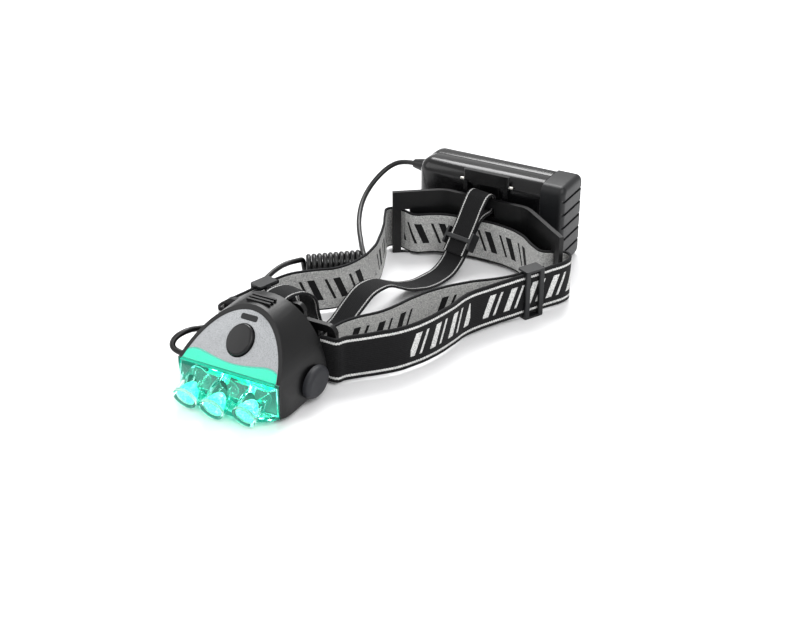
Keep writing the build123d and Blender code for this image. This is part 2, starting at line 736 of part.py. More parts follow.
with BuildPart() as battery_case_front:
    add(pack_body.part)
    split(bisect_by=parting, keep=Keep.TOP)
    # lugs for the latch pin
    for lug_x in (-13.4, 17.4):
        with BuildSketch(Plane(origin=(lug_x, 0, 0), x_dir=(0, 1, 0), z_dir=(1, 0, 0))):
            with Locations((PACK_Y0 - 1.4, 45.0)):
                RectangleRounded(4.6, 5.0, 1.2)
            with Locations((PACK_Y0 - 1.9, 45.0)):
                Circle(0.8, mode=Mode.SUBTRACT)
        extrude(amount=0.9, both=True)
finish(battery_case_front, "battery_case_front")

with BuildPart() as battery_case_back:
    add(pack_body.part)
    split(bisect_by=parting, keep=Keep.BOTTOM)
finish(battery_case_back, "battery_case_back")

DOOR_GAP = 0.3
SPIGOT = 4.0
with BuildPart() as battery_door:
    with BuildSketch(end_plane.offset(PACK_LENGTH + DOOR_GAP)):
        RectangleRounded(PACK_DEPTH, PACK_HEIGHT, PACK_ROUND)
    extrude(amount=DOOR_LENGTH)
    fillet(battery_door.faces().sort_by(Axis.X)[-1].edges(), 3.5)
    # grip grooves across the outer end
    for step in range(5):
        with BuildSketch(Plane.XY.offset(9 + 8 * step)):
            with Locations((PACK_X1 + DOOR_GAP + DOOR_LENGTH, PACK_MID_Y)):
                Rectangle(2.2, PACK_DEPTH + 4)
        extrude(amount=1.6, mode=Mode.SUBTRACT)
    with BuildSketch(end_plane.offset(PACK_LENGTH + DOOR_GAP)):
        RectangleRounded(
            PACK_DEPTH - 2 * PACK_WALL - 2 * DOOR_GAP,
            PACK_HEIGHT - 2 * PACK_WALL - 2 * DOOR_GAP,
            PACK_ROUND - PACK_WALL - DOOR_GAP,
        )
    extrude(amount=-SPIGOT)
    with BuildSketch(end_plane.offset(PACK_LENGTH - SPIGOT)):
        RectangleRounded(PACK_DEPTH - 4 * PACK_WALL, PACK_HEIGHT - 4 * PACK_WALL, 1.5)
    extrude(amount=SPIGOT + DOOR_LENGTH - 3, mode=Mode.SUBTRACT)
finish(battery_door, "battery_door")

with BuildPart() as contact_plate:
    with BuildSketch(end_plane.offset(PACK_LENGTH - SPIGOT)):
        RectangleRounded(19.5, 41.5, 1)
    extrude(amount=-0.6)
finish(contact_plate, "contact_plate")

with BuildPart() as cell_tray:
    with BuildSketch(end_plane.offset(CELL_X - PACK_X0 - 3)):
        with Locations((-PACK_DEPTH / 2 + PACK_WALL + 0.8, 0)):
            Rectangle(1.2, 39)
    extrude(amount=CELL_LONG + 3)
    for step in (-1, 1):
        with BuildSketch(end_plane.offset(CELL_X - PACK_X0 - 3)):
            with Locations((-8.2, step * CELL_PITCH / 2)):
                Rectangle(6.0, 0.5)
        extrude(amount=CELL_LONG + 3)
finish(cell_tray, "cell_tray")

CELL_SHIFT = 1.6  # the cells sit a little towards the back shell
with BuildPart() as cells:
    for row in (-1, 0, 1):
        with BuildSketch(end_plane.offset(CELL_X - PACK_X0)):
            with Locations((CELL_SHIFT, row * CELL_PITCH)):
                Circle(CELL_D / 2)
        extrude(amount=CELL_LONG)
        with BuildSketch(end_plane.offset(CELL_X - PACK_X0 + CELL_LONG)):
            with Locations((CELL_SHIFT, row * CELL_PITCH)):
                Circle(2.7)
        extrude(amount=1.2)
finish(cells, "cells")

SPRING_WIRE = 0.8
PLATE_AT = 13.0  # spring plate, from the pack's left end
PLATE_T = 1.2
with BuildPart() as contact_springs:
    for row in (-1, 0, 1):
        with BuildSketch(end_plane.offset(PLATE_AT + PLATE_T)):
            with Locations((CELL_SHIFT, row * CELL_PITCH)):
                Circle(4.2)
                Circle(4.2 - SPRING_WIRE, mode=Mode.SUBTRACT)
        extrude(amount=CELL_X - PACK_X0 - PLATE_AT - PLATE_T)
finish(contact_springs, "contact_springs")

with BuildPart() as spring_plate:
    with BuildSketch(end_plane.offset(PLATE_AT)):
        RectangleRounded(PACK_DEPTH - 2 * PACK_WALL - 0.6, PACK_HEIGHT - 2 * PACK_WALL - 0.6, 2.6)
    extrude(amount=PLATE_T)
finish(spring_plate, "spring_plate")

with BuildPart() as driver_board:
    with BuildSketch(end_plane.offset(PLATE_AT - 5)):
        RectangleRounded(20, 40, 1.5)
    extrude(amount=PLATE_T)
finish(driver_board, "driver_board")

SEAL_RIM = 2.8  # twice the width of the seal's ring
seal_across = PACK_DEPTH - 2 * PACK_WALL - 0.2
seal_high = PACK_HEIGHT - 2 * PACK_WALL - 0.2
with BuildPart() as door_seal:
    with BuildSketch(end_plane.offset(PACK_LENGTH - SPIGOT - 1.4)):
        RectangleRounded(seal_across, seal_high, 2.9)
        RectangleRounded(seal_across - SEAL_RIM, seal_high - SEAL_RIM, 1.6, mode=Mode.SUBTRACT)
    extrude(amount=1.0)
finish(door_seal, "door_seal")

with BuildPart() as latch_pin:
    with BuildSketch(Plane(origin=(2.0, 0, 0), x_dir=(0, 1, 0), z_dir=(1, 0, 0))):
        with Locations((PACK_Y0 - 1.9, 45.0)):
            Circle(0.8)
    extrude(amount=16.3, both=True)
finish(latch_pin, "latch_pin")

with BuildPart() as pack_latch:
    # leaf in front of the pack's upper edge, with a thumb lip and two legs
    with BuildSketch(Plane.XY.offset(43.9)):
        with Locations((2.0, PACK_Y0 - 1.9)):
            RectangleRounded(28.2, 2.6, 1.0)
    extrude(amount=7.6)
    for leg_x in (-10.4, 14.4):
        with BuildSketch(Plane.XY.offset(35.0)):
            with Locations((leg_x, PACK_Y0 - 3.0)):
                Rectangle(2.6, 2.0)
        extrude(amount=10)
    with BuildSketch(Plane(origin=(2.0, 0, 0), x_dir=(0, 1, 0), z_dir=(1, 0, 0))):
        with Locations((PACK_Y0 - 1.9, 45.0)):
            Circle(0.8 + PIN_FIT)
    extrude(amount=16, both=True, mode=Mode.SUBTRACT)
finish(pack_latch, "pack_latch")

RELIEF_LONG = 9.0
with BuildPart() as strain_relief:
    with BuildSketch(end_plane):
        with Locations((0, 15)):
            Circle(4.4)
    with BuildSketch(end_plane.offset(-RELIEF_LONG)):
        with Locations((0, 15)):
            Circle(CABLE_D / 2 + 1.0)
    loft()
    with BuildSketch(end_plane):
        with Locations((0, 15)):
            Circle(CABLE_D / 2 + 0.6)
    extrude(amount=5)
finish(strain_relief, "strain_relief")

SCREW_FACE_Y = PACK_Y0 + PACK_DEPTH + 0.9
with BuildPart() as case_screws:
    for x in SCREW_X:
        screw_face = Plane(origin=(x, SCREW_FACE_Y, SCREW_Z), x_dir=(1, 0, 0), z_dir=(0, 1, 0))
        with BuildSketch(screw_face):
            Circle(SCREW_D)
            Rectangle(SCREW_D * 1.5, 0.6, mode=Mode.SUBTRACT)
        extrude(amount=-0.9)
finish(case_screws, "case_screws")

# ---------------------------------------------------------------- cable
curl_start = Vector(-75.0, 17.0, CURL_D / 2 + 0.3)
curl_end = Vector(-46.0, 41.0, CURL_D / 2 + 0.3)
curl_axis = (curl_end - curl_start).normalized()
with BuildPart() as cable_curl:
    with BuildSketch(Plane(origin=curl_start, z_dir=curl_axis)):
        Circle(CURL_D / 2)
    extrude(amount=(curl_end - curl_start).length)
finish(cable_curl, "cable_curl")

relief_tip = (PACK_X0 - RELIEF_LONG, PACK_MID_Y, PACK_HEIGHT / 2 + 15)
rear_lead = [
    relief_tip,
    (-61, PACK_MID_Y, relief_tip[2]),
    (-68, 104, 36.5),
    (-72.5, 94, 29.5),
    (-72.0, 81, 23.5),
    (-67, 68, 18.5),
    (-60, 56.5, 15.5),
    (-53, 47.5, 12.6),
    (-50.0, 40.5, 10.0),
]
lead_join = (-70.5, HEAD_Y + 40.5, 19.0)
JOIN_GAP = 0.35  # between the fixed lead and the loop that tilts with the lamp
loop_start = (-70.48, lead_join[1] - JOIN_GAP, 19.15)
front_lead = [
    (-71.5, 20.5, 11.5),
    (-79, 12.5, 12.0),
    (-83, -1, 9.5),
    (-82, -17, 6.0),
    (-78.5, -33, 4.5),
    (-75, -49, 6.0),
    (-72.5, -64, 10.5),
    (-71, -76.5, 15.5),
    lead_join,
]
gland_face = (HEAD_X - HEAD_HALF - 2.0, HEAD_Y + 22.0, 15.0)
loop_lead = [
    loop_start,
    (-70.0, HEAD_Y + 32.5, 22.5),
    (-73.0, HEAD_Y + 25.0, 21.6),
    (-73.4, HEAD_Y + 20.9, 18.0),
    (-70.0, gland_face[1], gland_face[2]),
    gland_face,
]


def cable(points):
    """A round cable of straight runs and tangent bends; its bend radii are printed."""
    radii = bend_radii(points)
    print("bend radii", [round(r, 1) for r in radii])
    with BuildPart() as lead:
        with BuildLine() as path:
            FilletPolyline(*points, radius=radii)
        with BuildSketch(Plane(origin=path.line @ 0, z_dir=path.line % 0)):
            Circle(CABLE_D / 2)
        sweep(path=path.line)
    length = path.wires()[0].length
    expected = math.pi * CABLE_D**2 / 4 * length
    print("length", round(length, 1), "volume share", round(lead.part.volume / expected, 3))
    return lead


cable_rear_lead = cable(rear_lead)
finish(cable_rear_lead, "cable_rear_lead")
cable_front_lead = cable(front_lead)
finish(cable_front_lead, "cable_front_lead")
cable_loop = cable(loop_lead)
finish(cable_loop, "cable_loop")
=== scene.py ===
"""Headlamp with headband, overhead strap, battery pack and curly cable, dressed over its CAD frame."""
import json
import logging
import math
from dataclasses import dataclass, field
from enum import Enum
from typing import Iterable, Optional, Union

import bmesh
import bpy
from mathutils import Matrix, Vector


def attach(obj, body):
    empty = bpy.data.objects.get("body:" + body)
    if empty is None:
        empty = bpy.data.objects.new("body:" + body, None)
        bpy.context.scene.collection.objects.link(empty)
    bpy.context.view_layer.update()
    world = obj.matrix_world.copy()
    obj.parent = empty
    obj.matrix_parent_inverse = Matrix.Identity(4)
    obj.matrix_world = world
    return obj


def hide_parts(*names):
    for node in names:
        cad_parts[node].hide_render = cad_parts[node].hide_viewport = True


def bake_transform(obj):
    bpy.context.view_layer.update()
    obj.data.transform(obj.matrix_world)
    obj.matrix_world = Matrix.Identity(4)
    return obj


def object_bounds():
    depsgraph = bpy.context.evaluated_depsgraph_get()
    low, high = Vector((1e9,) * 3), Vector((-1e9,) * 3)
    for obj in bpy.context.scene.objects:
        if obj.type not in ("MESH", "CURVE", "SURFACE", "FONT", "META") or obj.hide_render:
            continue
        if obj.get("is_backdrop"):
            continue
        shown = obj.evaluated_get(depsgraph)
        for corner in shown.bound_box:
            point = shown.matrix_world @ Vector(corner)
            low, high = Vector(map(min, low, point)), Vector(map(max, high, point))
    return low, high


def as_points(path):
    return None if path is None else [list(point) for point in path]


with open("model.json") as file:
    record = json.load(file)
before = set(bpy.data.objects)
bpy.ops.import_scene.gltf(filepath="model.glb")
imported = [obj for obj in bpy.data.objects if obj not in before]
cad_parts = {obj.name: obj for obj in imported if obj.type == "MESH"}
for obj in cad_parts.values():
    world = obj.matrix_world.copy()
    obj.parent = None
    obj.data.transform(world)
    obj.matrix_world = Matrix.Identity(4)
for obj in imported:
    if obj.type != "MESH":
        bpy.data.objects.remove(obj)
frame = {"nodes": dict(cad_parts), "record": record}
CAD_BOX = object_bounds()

logging.basicConfig(level=logging.INFO, format="%(message)s")
log = logging.getLogger("headlamp")

Point = tuple[float, float, float]
Triple = tuple[float, float, float]
Value = Union[float, bpy.types.NodeSocket]
Laid = list[tuple[bmesh.types.BMVert, int, float]]

MM = 0.001
# How far the drawing's points move back, in millimetres, so that the origin is in the object's middle.
ORIGIN_SHIFT = 3.9
# Points of a CAD mesh closer than this, in metres, are one point.
MERGE_DISTANCE = 2e-6
# Faces of a CAD mesh that turn by less than this many degrees are one face.
FLAT_TURN = 3.0
# Edges of a moulding that turn by more than this many degrees are rounded.
ROUND_TURN = 40.0
# Edges of a thickened skin that turn by more than this many degrees are its rim.
RIM_TURN = 60.0


# ---------------------------------------------------------------- helpers
def mm(x: float, y: float, z: float) -> Vector:
    """A point of the drawing in millimetres, as a point of the row frame in metres."""
    return Vector((x, y + ORIGIN_SHIFT, z)) * MM


def linear(code: str) -> tuple[float, float, float, float]:
    """An sRGB hex colour as linear RGBA.

    Args:
        code: six hex digits, with or without a leading #.

    Returns:
        Linear red, green, blue and an alpha of 1.
    """
    digits = code.lstrip("#")
    parts = [int(digits[i : i + 2], 16) / 255 for i in (0, 2, 4)]
    turned = [p / 12.92 if p <= 0.04045 else ((p + 0.055) / 1.055) ** 2.4 for p in parts]
    return (*turned, 1.0)


def add_node(
    tree: bpy.types.NodeTree, kind: str, inputs: Optional[dict] = None, **settings
) -> bpy.types.Node:
    """Add a shader node with its settings, socket values and links.

    Args:
        tree: the material's node tree.
        kind: the node's type, such as "ShaderNodeMath".
        inputs: socket name or number to a value, or to an output socket to link from.
        settings: the node's own properties.

    Returns:
        The new node.
    """
    node = tree.nodes.new(kind)
    for name, value in settings.items():
        setattr(node, name, value)
    for key, value in (inputs or {}).items():
        if isinstance(value, bpy.types.NodeSocket):
            tree.links.new(value, node.inputs[key])
        else:
            node.inputs[key].default_value = value
    return node


def scale_of(size_mm: float) -> float:
    """The Scale of a pattern whose features are this many millimetres across."""
    return 1 / (size_mm * MM)


def add_ramp(
    tree: bpy.types.NodeTree, factor: bpy.types.NodeSocket, stops: Iterable[tuple[float, str]]
) -> bpy.types.NodeSocket:
    """A colour ramp over a factor.

    Args:
        tree: the material's node tree.
        factor: the socket that drives the ramp.
        stops: (position, hex colour) pairs from low to high.

    Returns:
        The ramp's colour socket.
    """
    ramp = add_node(tree, "ShaderNodeValToRGB", {0: factor})
    stops = list(stops)
    elements = ramp.color_ramp.elements
    while len(elements) < len(stops):
        elements.new(0.5)
    for element, (place, code) in zip(elements, stops):
        element.position = place
        element.color = linear(code)
    return ramp.outputs[0]


def new_material(name: str) -> tuple[bpy.types.Material, bpy.types.NodeTree, bpy.types.Node]:
    """A fresh node material.

    Args:
        name: the finish's name.

    Returns:
        The material, its node tree and its Principled BSDF.
    """
    material = bpy.data.materials.new(name)
    material.use_nodes = True
    tree = material.node_tree
    return material, tree, tree.nodes["Principled BSDF"]


def dress(piece: bpy.types.Object, material: bpy.types.Material) -> None:
    """Give a piece one material in place of any that it has."""
    piece.data.materials.clear()
    piece.data.materials.append(material)


def piece_from(
    bm: bmesh.types.BMesh, name: str, smooth: bool = True, outwards: bool = True
) -> bpy.types.Object:
    """Turn a bmesh into a piece.

    Args:
        bm: the finished bmesh; it is freed.
        name: the piece's name.
        smooth: whether its faces are shaded smooth.
        outwards: whether its normals are worked out again, to face outwards.

    Returns:
        The new object, linked to the scene.
    """
    if outwards:
        bmesh.ops.recalc_face_normals(bm, faces=bm.faces)
    mesh = bpy.data.meshes.new(name)
    bm.to_mesh(mesh)
    bm.free()
    piece = bpy.data.objects.new(name, mesh)
    bpy.context.scene.collection.objects.link(piece)
    if smooth:
        mesh.shade_smooth()
    return piece


def keep_edges(piece: bpy.types.Object, degrees: float) -> None:
    """Mark edges that turn by an angle or more, so that smooth shading keeps them.

    Args:
        piece: the piece whose mesh is marked.
        degrees: the angle.
    """
    bm = bmesh.new()
    bm.from_mesh(piece.data)
    for edge in bm.edges:
        edge.smooth = edge.calc_face_angle(0.0) < math.radians(degrees)
    bm.to_mesh(piece.data)
    bm.free()


def add_modifier(piece: bpy.types.Object, kind: str, **settings) -> bpy.types.Modifier:
    """Add a modifier with its settings.

    Args:
        piece: the piece that gets it.
        kind: the modifier's type, such as "BEVEL".
        settings: the modifier's own properties.

    Returns:
        The new modifier.
    """
    modifier = piece.modifiers.new(kind.title(), kind)
    for name, value in settings.items():
        setattr(modifier, name, value)
    return modifier


def round_rim(piece: bpy.types.Object, width: float) -> None:
    """Round the rim of a thickened skin by a width in millimetres."""
    turn = math.radians(RIM_TURN)
    add_modifier(piece, "BEVEL", width=width * MM, segments=2, limit_method="ANGLE", angle_limit=turn)


def softened(node: str, width: float, segments: int = 2) -> bpy.types.Object:
    """A copy of a CAD node with its edges rounded, as a mould leaves them.

    Args:
        node: the CAD node that the piece stands for.
        width: the round's width in millimetres.
        segments: how many faces make the round.

    Returns:
        The new piece, which replaces the node.
    """
    bm = bmesh.new()
    bm.from_mesh(frame["nodes"][node].data)
    bmesh.ops.remove_doubles(bm, verts=bm.verts, dist=MERGE_DISTANCE)
    bmesh.ops.dissolve_limit(bm, angle_limit=math.radians(FLAT_TURN), verts=bm.verts, edges=bm.edges)
    piece = piece_from(bm, f"{node}_moulded")
    keep_edges(piece, degrees=50)
    add_modifier(
        piece,
        "BEVEL",
        width=width * MM,
        segments=segments,
        limit_method="ANGLE",
        angle_limit=math.radians(ROUND_TURN),
        harden_normals=True,
        use_clamp_overlap=True,
    )
    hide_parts(node)
    return piece


def body_holding(node: str) -> str:
    """The body whose list in the record holds a node."""
    for name, members in frame["record"]["behaviour"]["bodies"].items():
        if node in members:
            return name
    raise KeyError(node)


def slot_of(node: str) -> str:
    """The record's material slot of a node."""
    for row in frame["record"]["subparts"]:
        if row["node"] == node:
            return row["material_slot"]
    raise KeyError(node)


def settle(piece: bpy.types.Object, node: str) -> bpy.types.Object:
    """Let a piece ride on a node's body.

    Args:
        piece: the finished piece.
        node: a CAD node.

    Returns:
        The same piece.
    """
    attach(piece, body_holding(node))
    slot_of(node)
    return piece


def moulded(node: str, width: float, finish: bpy.types.Material, segments: int = 2) -> bpy.types.Object:
    """A rounded copy of a CAD node in its finish, settled on the node's body.

    Args:
        node: the CAD node that the piece stands for.
        width: the round's width in millimetres.
        finish: its material.
        segments: how many faces make the round.

    Returns:
        The new piece.
    """
    piece = softened(node, width, segments)
    dress(piece, finish)
    return settle(piece, node)


# ---------------------------------------------------------------- finishes
@dataclass(frozen=True)
class MouldedPlastic:
    """Moulded plastic or rubber: an even body colour, a fine spark-eroded grain and soft highlights."""

    name: str
    colour: str
    roughness: float
    grain_mm: float = 0.5
    grain_depth: float = 0.12
    specular: float = 0.5
    coat: float = 0.0
    cloud_mm: float = 16.667
    ior: float = 1.53  # ABS

    def build(self) -> bpy.types.Material:
        """Make the material.

        Returns:
            The finish as a node material.
        """
        material, tree, shader = new_material(self.name)
        place = add_node(tree, "ShaderNodeTexCoord").outputs["Object"]
        grain = add_node(
            tree, "ShaderNodeTexNoise", {"Vector": place, "Scale": scale_of(self.grain_mm), "Detail": 3.0}
        )
        cloud = add_node(
            tree, "ShaderNodeTexNoise", {"Vector": place, "Scale": scale_of(self.cloud_mm), "Detail": 2.0}
        )
        body = linear(self.colour)
        lighter = tuple(min(1.0, c * 1.35 + 0.002) for c in body[:3]) + (1.0,)
        tint = add_node(
            tree, "ShaderNodeMix", {"Factor": cloud.outputs["Fac"], "A": body, "B": lighter}, data_type="RGBA"
        )
        tree.links.new(tint.outputs["Result"], shader.inputs["Base Color"])
        low, high = self.roughness - 0.05, self.roughness + 0.07
        rough = add_node(
            tree, "ShaderNodeMapRange", {"Value": cloud.outputs["Fac"], "To Min": low, "To Max": high}
        )
        tree.links.new(rough.outputs["Result"], shader.inputs["Roughness"])
        bump = add_node(
            tree,
            "ShaderNodeBump",
            {"Height": grain.outputs["Fac"], "Strength": self.grain_depth, "Distance": 0.1 * MM},
        )
        tree.links.new(bump.outputs["Normal"], shader.inputs["Normal"])
        shader.inputs["IOR"].default_value = self.ior
        shader.inputs["Specular IOR Level"].default_value = self.specular
        shader.inputs["Coat Weight"].default_value = self.coat
        shader.inputs["Coat Roughness"].default_value = 0.12
        return material


@dataclass(frozen=True)
class MetallicPaint:
    """Silver spray paint on ABS: fine aluminium flake that glitters a little under a thin clear coat.

    The flake is drawn coarser than real flake, so that it shows.
    """

    name: str = "silver_metallic_paint"
    bright: str = "#A4A6A8"
    colour: str = "#8C8E90"
    dark: str = "#6F7174"
    flake_mm: float = 0.35

    def build(self) -> bpy.types.Material:
        """Make the material.

        Returns:
            The finish as a node material.
        """
        material, tree, shader = new_material(self.name)
        place = add_node(tree, "ShaderNodeTexCoord").outputs["Object"]
        flake = add_node(tree, "ShaderNodeTexVoronoi", {"Vector": place, "Scale": scale_of(self.flake_mm)})
        distance = flake.outputs["Distance"]
        colour = add_ramp(tree, distance, [(0.0, self.bright), (0.5, self.colour), (1.0, self.dark)])
        tree.links.new(colour, shader.inputs["Base Color"])
        bump = add_node(tree, "ShaderNodeBump", {"Height": distance, "Strength": 0.12, "Distance": 0.1 * MM})
        tree.links.new(bump.outputs["Normal"], shader.inputs["Normal"])
        shader.inputs["Metallic"].default_value = 0.85
        shader.inputs["Roughness"].default_value = 0.36
        shader.inputs["Coat Weight"].default_value = 0.4
        shader.inputs["Coat Roughness"].default_value = 0.15
        return material


@dataclass(frozen=True)
class ClearPolycarbonate:
    """Polished clear polycarbonate, lit from behind so that it carries the LEDs' cyan light."""

    name: str
    tint: str = "#BCFFF2"
    glow: str = "#0DF5CF"
    glow_strength: float = 0.1
    roughness: float = 0.04
    flow_mm: float = 7.143
    ior: float = 1.4  # lower than polycarbonate's 1.58, so that the LEDs show through without dark edges

    def build(self) -> bpy.types.Material:
        """Make the material.

        Returns:
            The finish as a node material.
        """
        material, tree, shader = new_material(self.name)
        place = add_node(tree, "ShaderNodeTexCoord").outputs["Object"]
        flow = add_node(
            tree, "ShaderNodeTexNoise", {"Vector": place, "Scale": scale_of(self.flow_mm), "Detail": 2.0}
        )
        bump = add_node(
            tree, "ShaderNodeBump", {"Height": flow.outputs["Fac"], "Strength": 0.08, "Distance": 0.3 * MM}
        )
        tree.links.new(bump.outputs["Normal"], shader.inputs["Normal"])
        shader.inputs["Base Color"].default_value = linear(self.tint)
        shader.inputs["Transmission Weight"].default_value = 1.0
        shader.inputs["IOR"].default_value = self.ior
        shader.inputs["Roughness"].default_value = self.roughness
        shader.inputs["Emission Color"].default_value = linear(self.glow)
        shader.inputs["Emission Strength"].default_value = self.glow_strength
        return material


@dataclass(frozen=True)
class LitSurface:
    """White polycarbonate flooded by the LEDs: cyan all over, almost white at its hottest."""

    name: str
    colours: tuple[str, str, str]
    strength: float
    cell_mm: float = 2.2
    cloud_mm: float = 9.091
    places: tuple[float, float, float] = (0.1, 0.35, 0.6)

    def build(self) -> bpy.types.Material:
        """Make the material.

        Returns:
            The finish as a node material.
        """
        material, tree, shader = new_material(self.name)
        place = add_node(tree, "ShaderNodeTexCoord").outputs["Object"]
        prism = add_node(tree, "ShaderNodeTexVoronoi", {"Vector": place, "Scale": scale_of(self.cell_mm)})
        cloud = add_node(
            tree, "ShaderNodeTexNoise", {"Vector": place, "Scale": scale_of(self.cloud_mm), "Detail": 3.0}
        )
        pair = {0: prism.outputs["Distance"], 1: cloud.outputs["Fac"]}
        both = add_node(tree, "ShaderNodeMath", pair, operation="MULTIPLY")
        colour = add_ramp(tree, both.outputs[0], zip(self.places, self.colours))
        tree.links.new(colour, shader.inputs["Base Color"])
        tree.links.new(colour, shader.inputs["Emission Color"])
        shader.inputs["Emission Strength"].default_value = self.strength
        shader.inputs["Roughness"].default_value = 0.3
        return material


@dataclass(frozen=True)
class PlatedSteel:
    """Nickel-plated steel wire and pressings: bright, with fine drawing lines."""

    name: str = "nickel_plated_steel"
    colour: str = "#C4C2BC"
    line_mm: float = 1.111

    def build(self) -> bpy.types.Material:
        """Make the material.

        Returns:
            The finish as a node material.
        """
        material, tree, shader = new_material(self.name)
        place = add_node(tree, "ShaderNodeTexCoord").outputs["Object"]
        lines = add_node(
            tree, "ShaderNodeTexNoise", {"Vector": place, "Scale": scale_of(self.line_mm), "Detail": 2.0}
        )
        rough = add_node(
            tree, "ShaderNodeMapRange", {"Value": lines.outputs["Fac"], "To Min": 0.22, "To Max": 0.4}
        )
        tree.links.new(rough.outputs["Result"], shader.inputs["Roughness"])
        shader.inputs["Base Color"].default_value = linear(self.colour)
        shader.inputs["Metallic"].default_value = 1.0
        return material


@dataclass(frozen=True)
class KnitFoam:
    """Knit-faced EVA foam: dull black with a visible mesh."""

    name: str = "knit_faced_foam"
    thread: str = "#1A1A1C"
    gap: str = "#38383B"
    mesh_mm: float = 0.9

    def build(self) -> bpy.types.Material:
        """Make the material.

        Returns:
            The finish as a node material.
        """
        material, tree, shader = new_material(self.name)
        place = add_node(tree, "ShaderNodeTexCoord").outputs["Object"]
        mesh = add_node(tree, "ShaderNodeTexVoronoi", {"Vector": place, "Scale": scale_of(self.mesh_mm)})
        distance = mesh.outputs["Distance"]
        colour = add_ramp(tree, distance, [(0.0, self.thread), (0.7, self.gap)])
        tree.links.new(colour, shader.inputs["Base Color"])
        bump = add_node(tree, "ShaderNodeBump", {"Height": distance, "Strength": 0.7, "Distance": 0.4 * MM})
        tree.links.new(bump.outputs["Normal"], shader.inputs["Normal"])
        shader.inputs["Roughness"].default_value = 0.9
        shader.inputs["Sheen Weight"].default_value = 0.3
        return material


class Side(Enum):
    """Which side of a woven strap a finish is for."""

    FACE = "face"
    REVERSE = "reverse"


@dataclass(frozen=True)
class Webbing:
    """Woven polyester elastic: cross ribs, light edge stripes, a black selvedge and a band of slanted bars.

    The u of the piece's UV map is the distance along the strap in metres, and v runs across it from 0 to 1.
    The ribs are drawn a little coarser than real ones, so that they show.
    """

    name: str
    width_mm: float
    side: Side
    ground: str
    thread: str
    stripe_from_mm: float
    stripe_to_mm: float
    motif: tuple[tuple[float, float], ...] = ()
    motif_half: float = 0.25
    bar_mm: float = 7.0
    slant_mm: float = 10.0
    narrow_share: float = 0.22
    broad_extra: float = 0.34
    rib_mm: float = 1.3
    warp_mm: float = 1.1
    wobble_mm: float = 0.16
    fuzz_mm: float = 0.6667

    def build(self) -> bpy.types.Material:
        """Make the material.

        Returns:
            The finish as a node material.
        """
        material, tree, shader = new_material(self.name)
        uv = add_node(tree, "ShaderNodeUVMap", uv_map="weave").outputs["UV"]
        split = add_node(tree, "ShaderNodeSeparateXYZ", {0: uv})
        along, across = split.outputs["X"], split.outputs["Y"]

        def calc(operation: str, a: Value, b: Value = 0.0, c: Value = 0.0) -> bpy.types.NodeSocket:
            """One maths step on sockets or numbers."""
            return add_node(tree, "ShaderNodeMath", {0: a, 1: b, 2: c}, operation=operation).outputs[0]

        centred = calc("SUBTRACT", across, 0.5)
        from_middle = calc("ABSOLUTE", centred)
        from_edge = calc("MULTIPLY", calc("SUBTRACT", 0.5, from_middle), self.width_mm)
        ribs = calc("SINE", calc("MULTIPLY", along, 2 * math.pi / (self.rib_mm * MM)))
        warp = calc("SINE", calc("MULTIPLY", across, 2 * math.pi * self.width_mm / self.warp_mm))
        inward = calc("ADD", from_edge, calc("MULTIPLY", ribs, self.wobble_mm))
        past_start = calc("GREATER_THAN", inward, self.stripe_from_mm)
        stripe = calc("MULTIPLY", past_start, calc("LESS_THAN", inward, self.stripe_to_mm))
        light = stripe
        if self.motif:
            slanted = calc("SUBTRACT", along, calc("MULTIPLY", centred, self.slant_mm * MM))
            pair = calc("FRACT", calc("MULTIPLY", slanted, 1 / (2 * self.bar_mm * MM)))
            single = calc("FRACT", calc("MULTIPLY", slanted, 1 / (self.bar_mm * MM)))
            broad = calc("GREATER_THAN", pair, 0.5)
            share = calc("MULTIPLY_ADD", broad, self.broad_extra, self.narrow_share)
            inside = calc("LESS_THAN", from_middle, self.motif_half)
            bars = calc("MULTIPLY", calc("LESS_THAN", single, share), inside)
        for start, end in self.motif:
            window = calc("MULTIPLY", calc("GREATER_THAN", along, start), calc("LESS_THAN", along, end))
            light = calc("MAXIMUM", light, calc("MULTIPLY", bars, window))
        if self.side is Side.REVERSE:  # the same threads, dark for light
            cloth = calc("GREATER_THAN", from_edge, self.stripe_from_mm)
            light = calc("MULTIPLY", cloth, calc("SUBTRACT", 1.0, calc("SUBTRACT", light, stripe)))
        place = add_node(tree, "ShaderNodeTexCoord").outputs["Object"]
        noise = {"Vector": place, "Scale": scale_of(self.fuzz_mm), "Detail": 3.0}
        fuzz = add_node(tree, "ShaderNodeTexNoise", noise).outputs["Fac"]
        ground = add_ramp(tree, fuzz, [(0.3, self.ground), (0.9, "#161618")])
        thread = add_ramp(tree, fuzz, [(0.25, "#77787A"), (0.55, self.thread), (0.85, "#E2E2DF")])
        woven = add_node(tree, "ShaderNodeMix", {"Factor": light, "A": ground, "B": thread}, data_type="RGBA")
        tree.links.new(woven.outputs["Result"], shader.inputs["Base Color"])
        relief = calc("ADD", calc("MULTIPLY", calc("ABSOLUTE", ribs), 0.6), calc("MULTIPLY", warp, 0.25))
        relief = calc("ADD", relief, calc("MULTIPLY", light, 0.35))
        bump = add_node(tree, "ShaderNodeBump", {"Height": relief, "Strength": 0.6, "Distance": 0.25 * MM})
        tree.links.new(bump.outputs["Normal"], shader.inputs["Normal"])
        shader.inputs["Roughness"].default_value = 0.88
        shader.inputs["Specular IOR Level"].default_value = 0.2
        shader.inputs["Sheen Weight"].default_value = 0.04
        return material


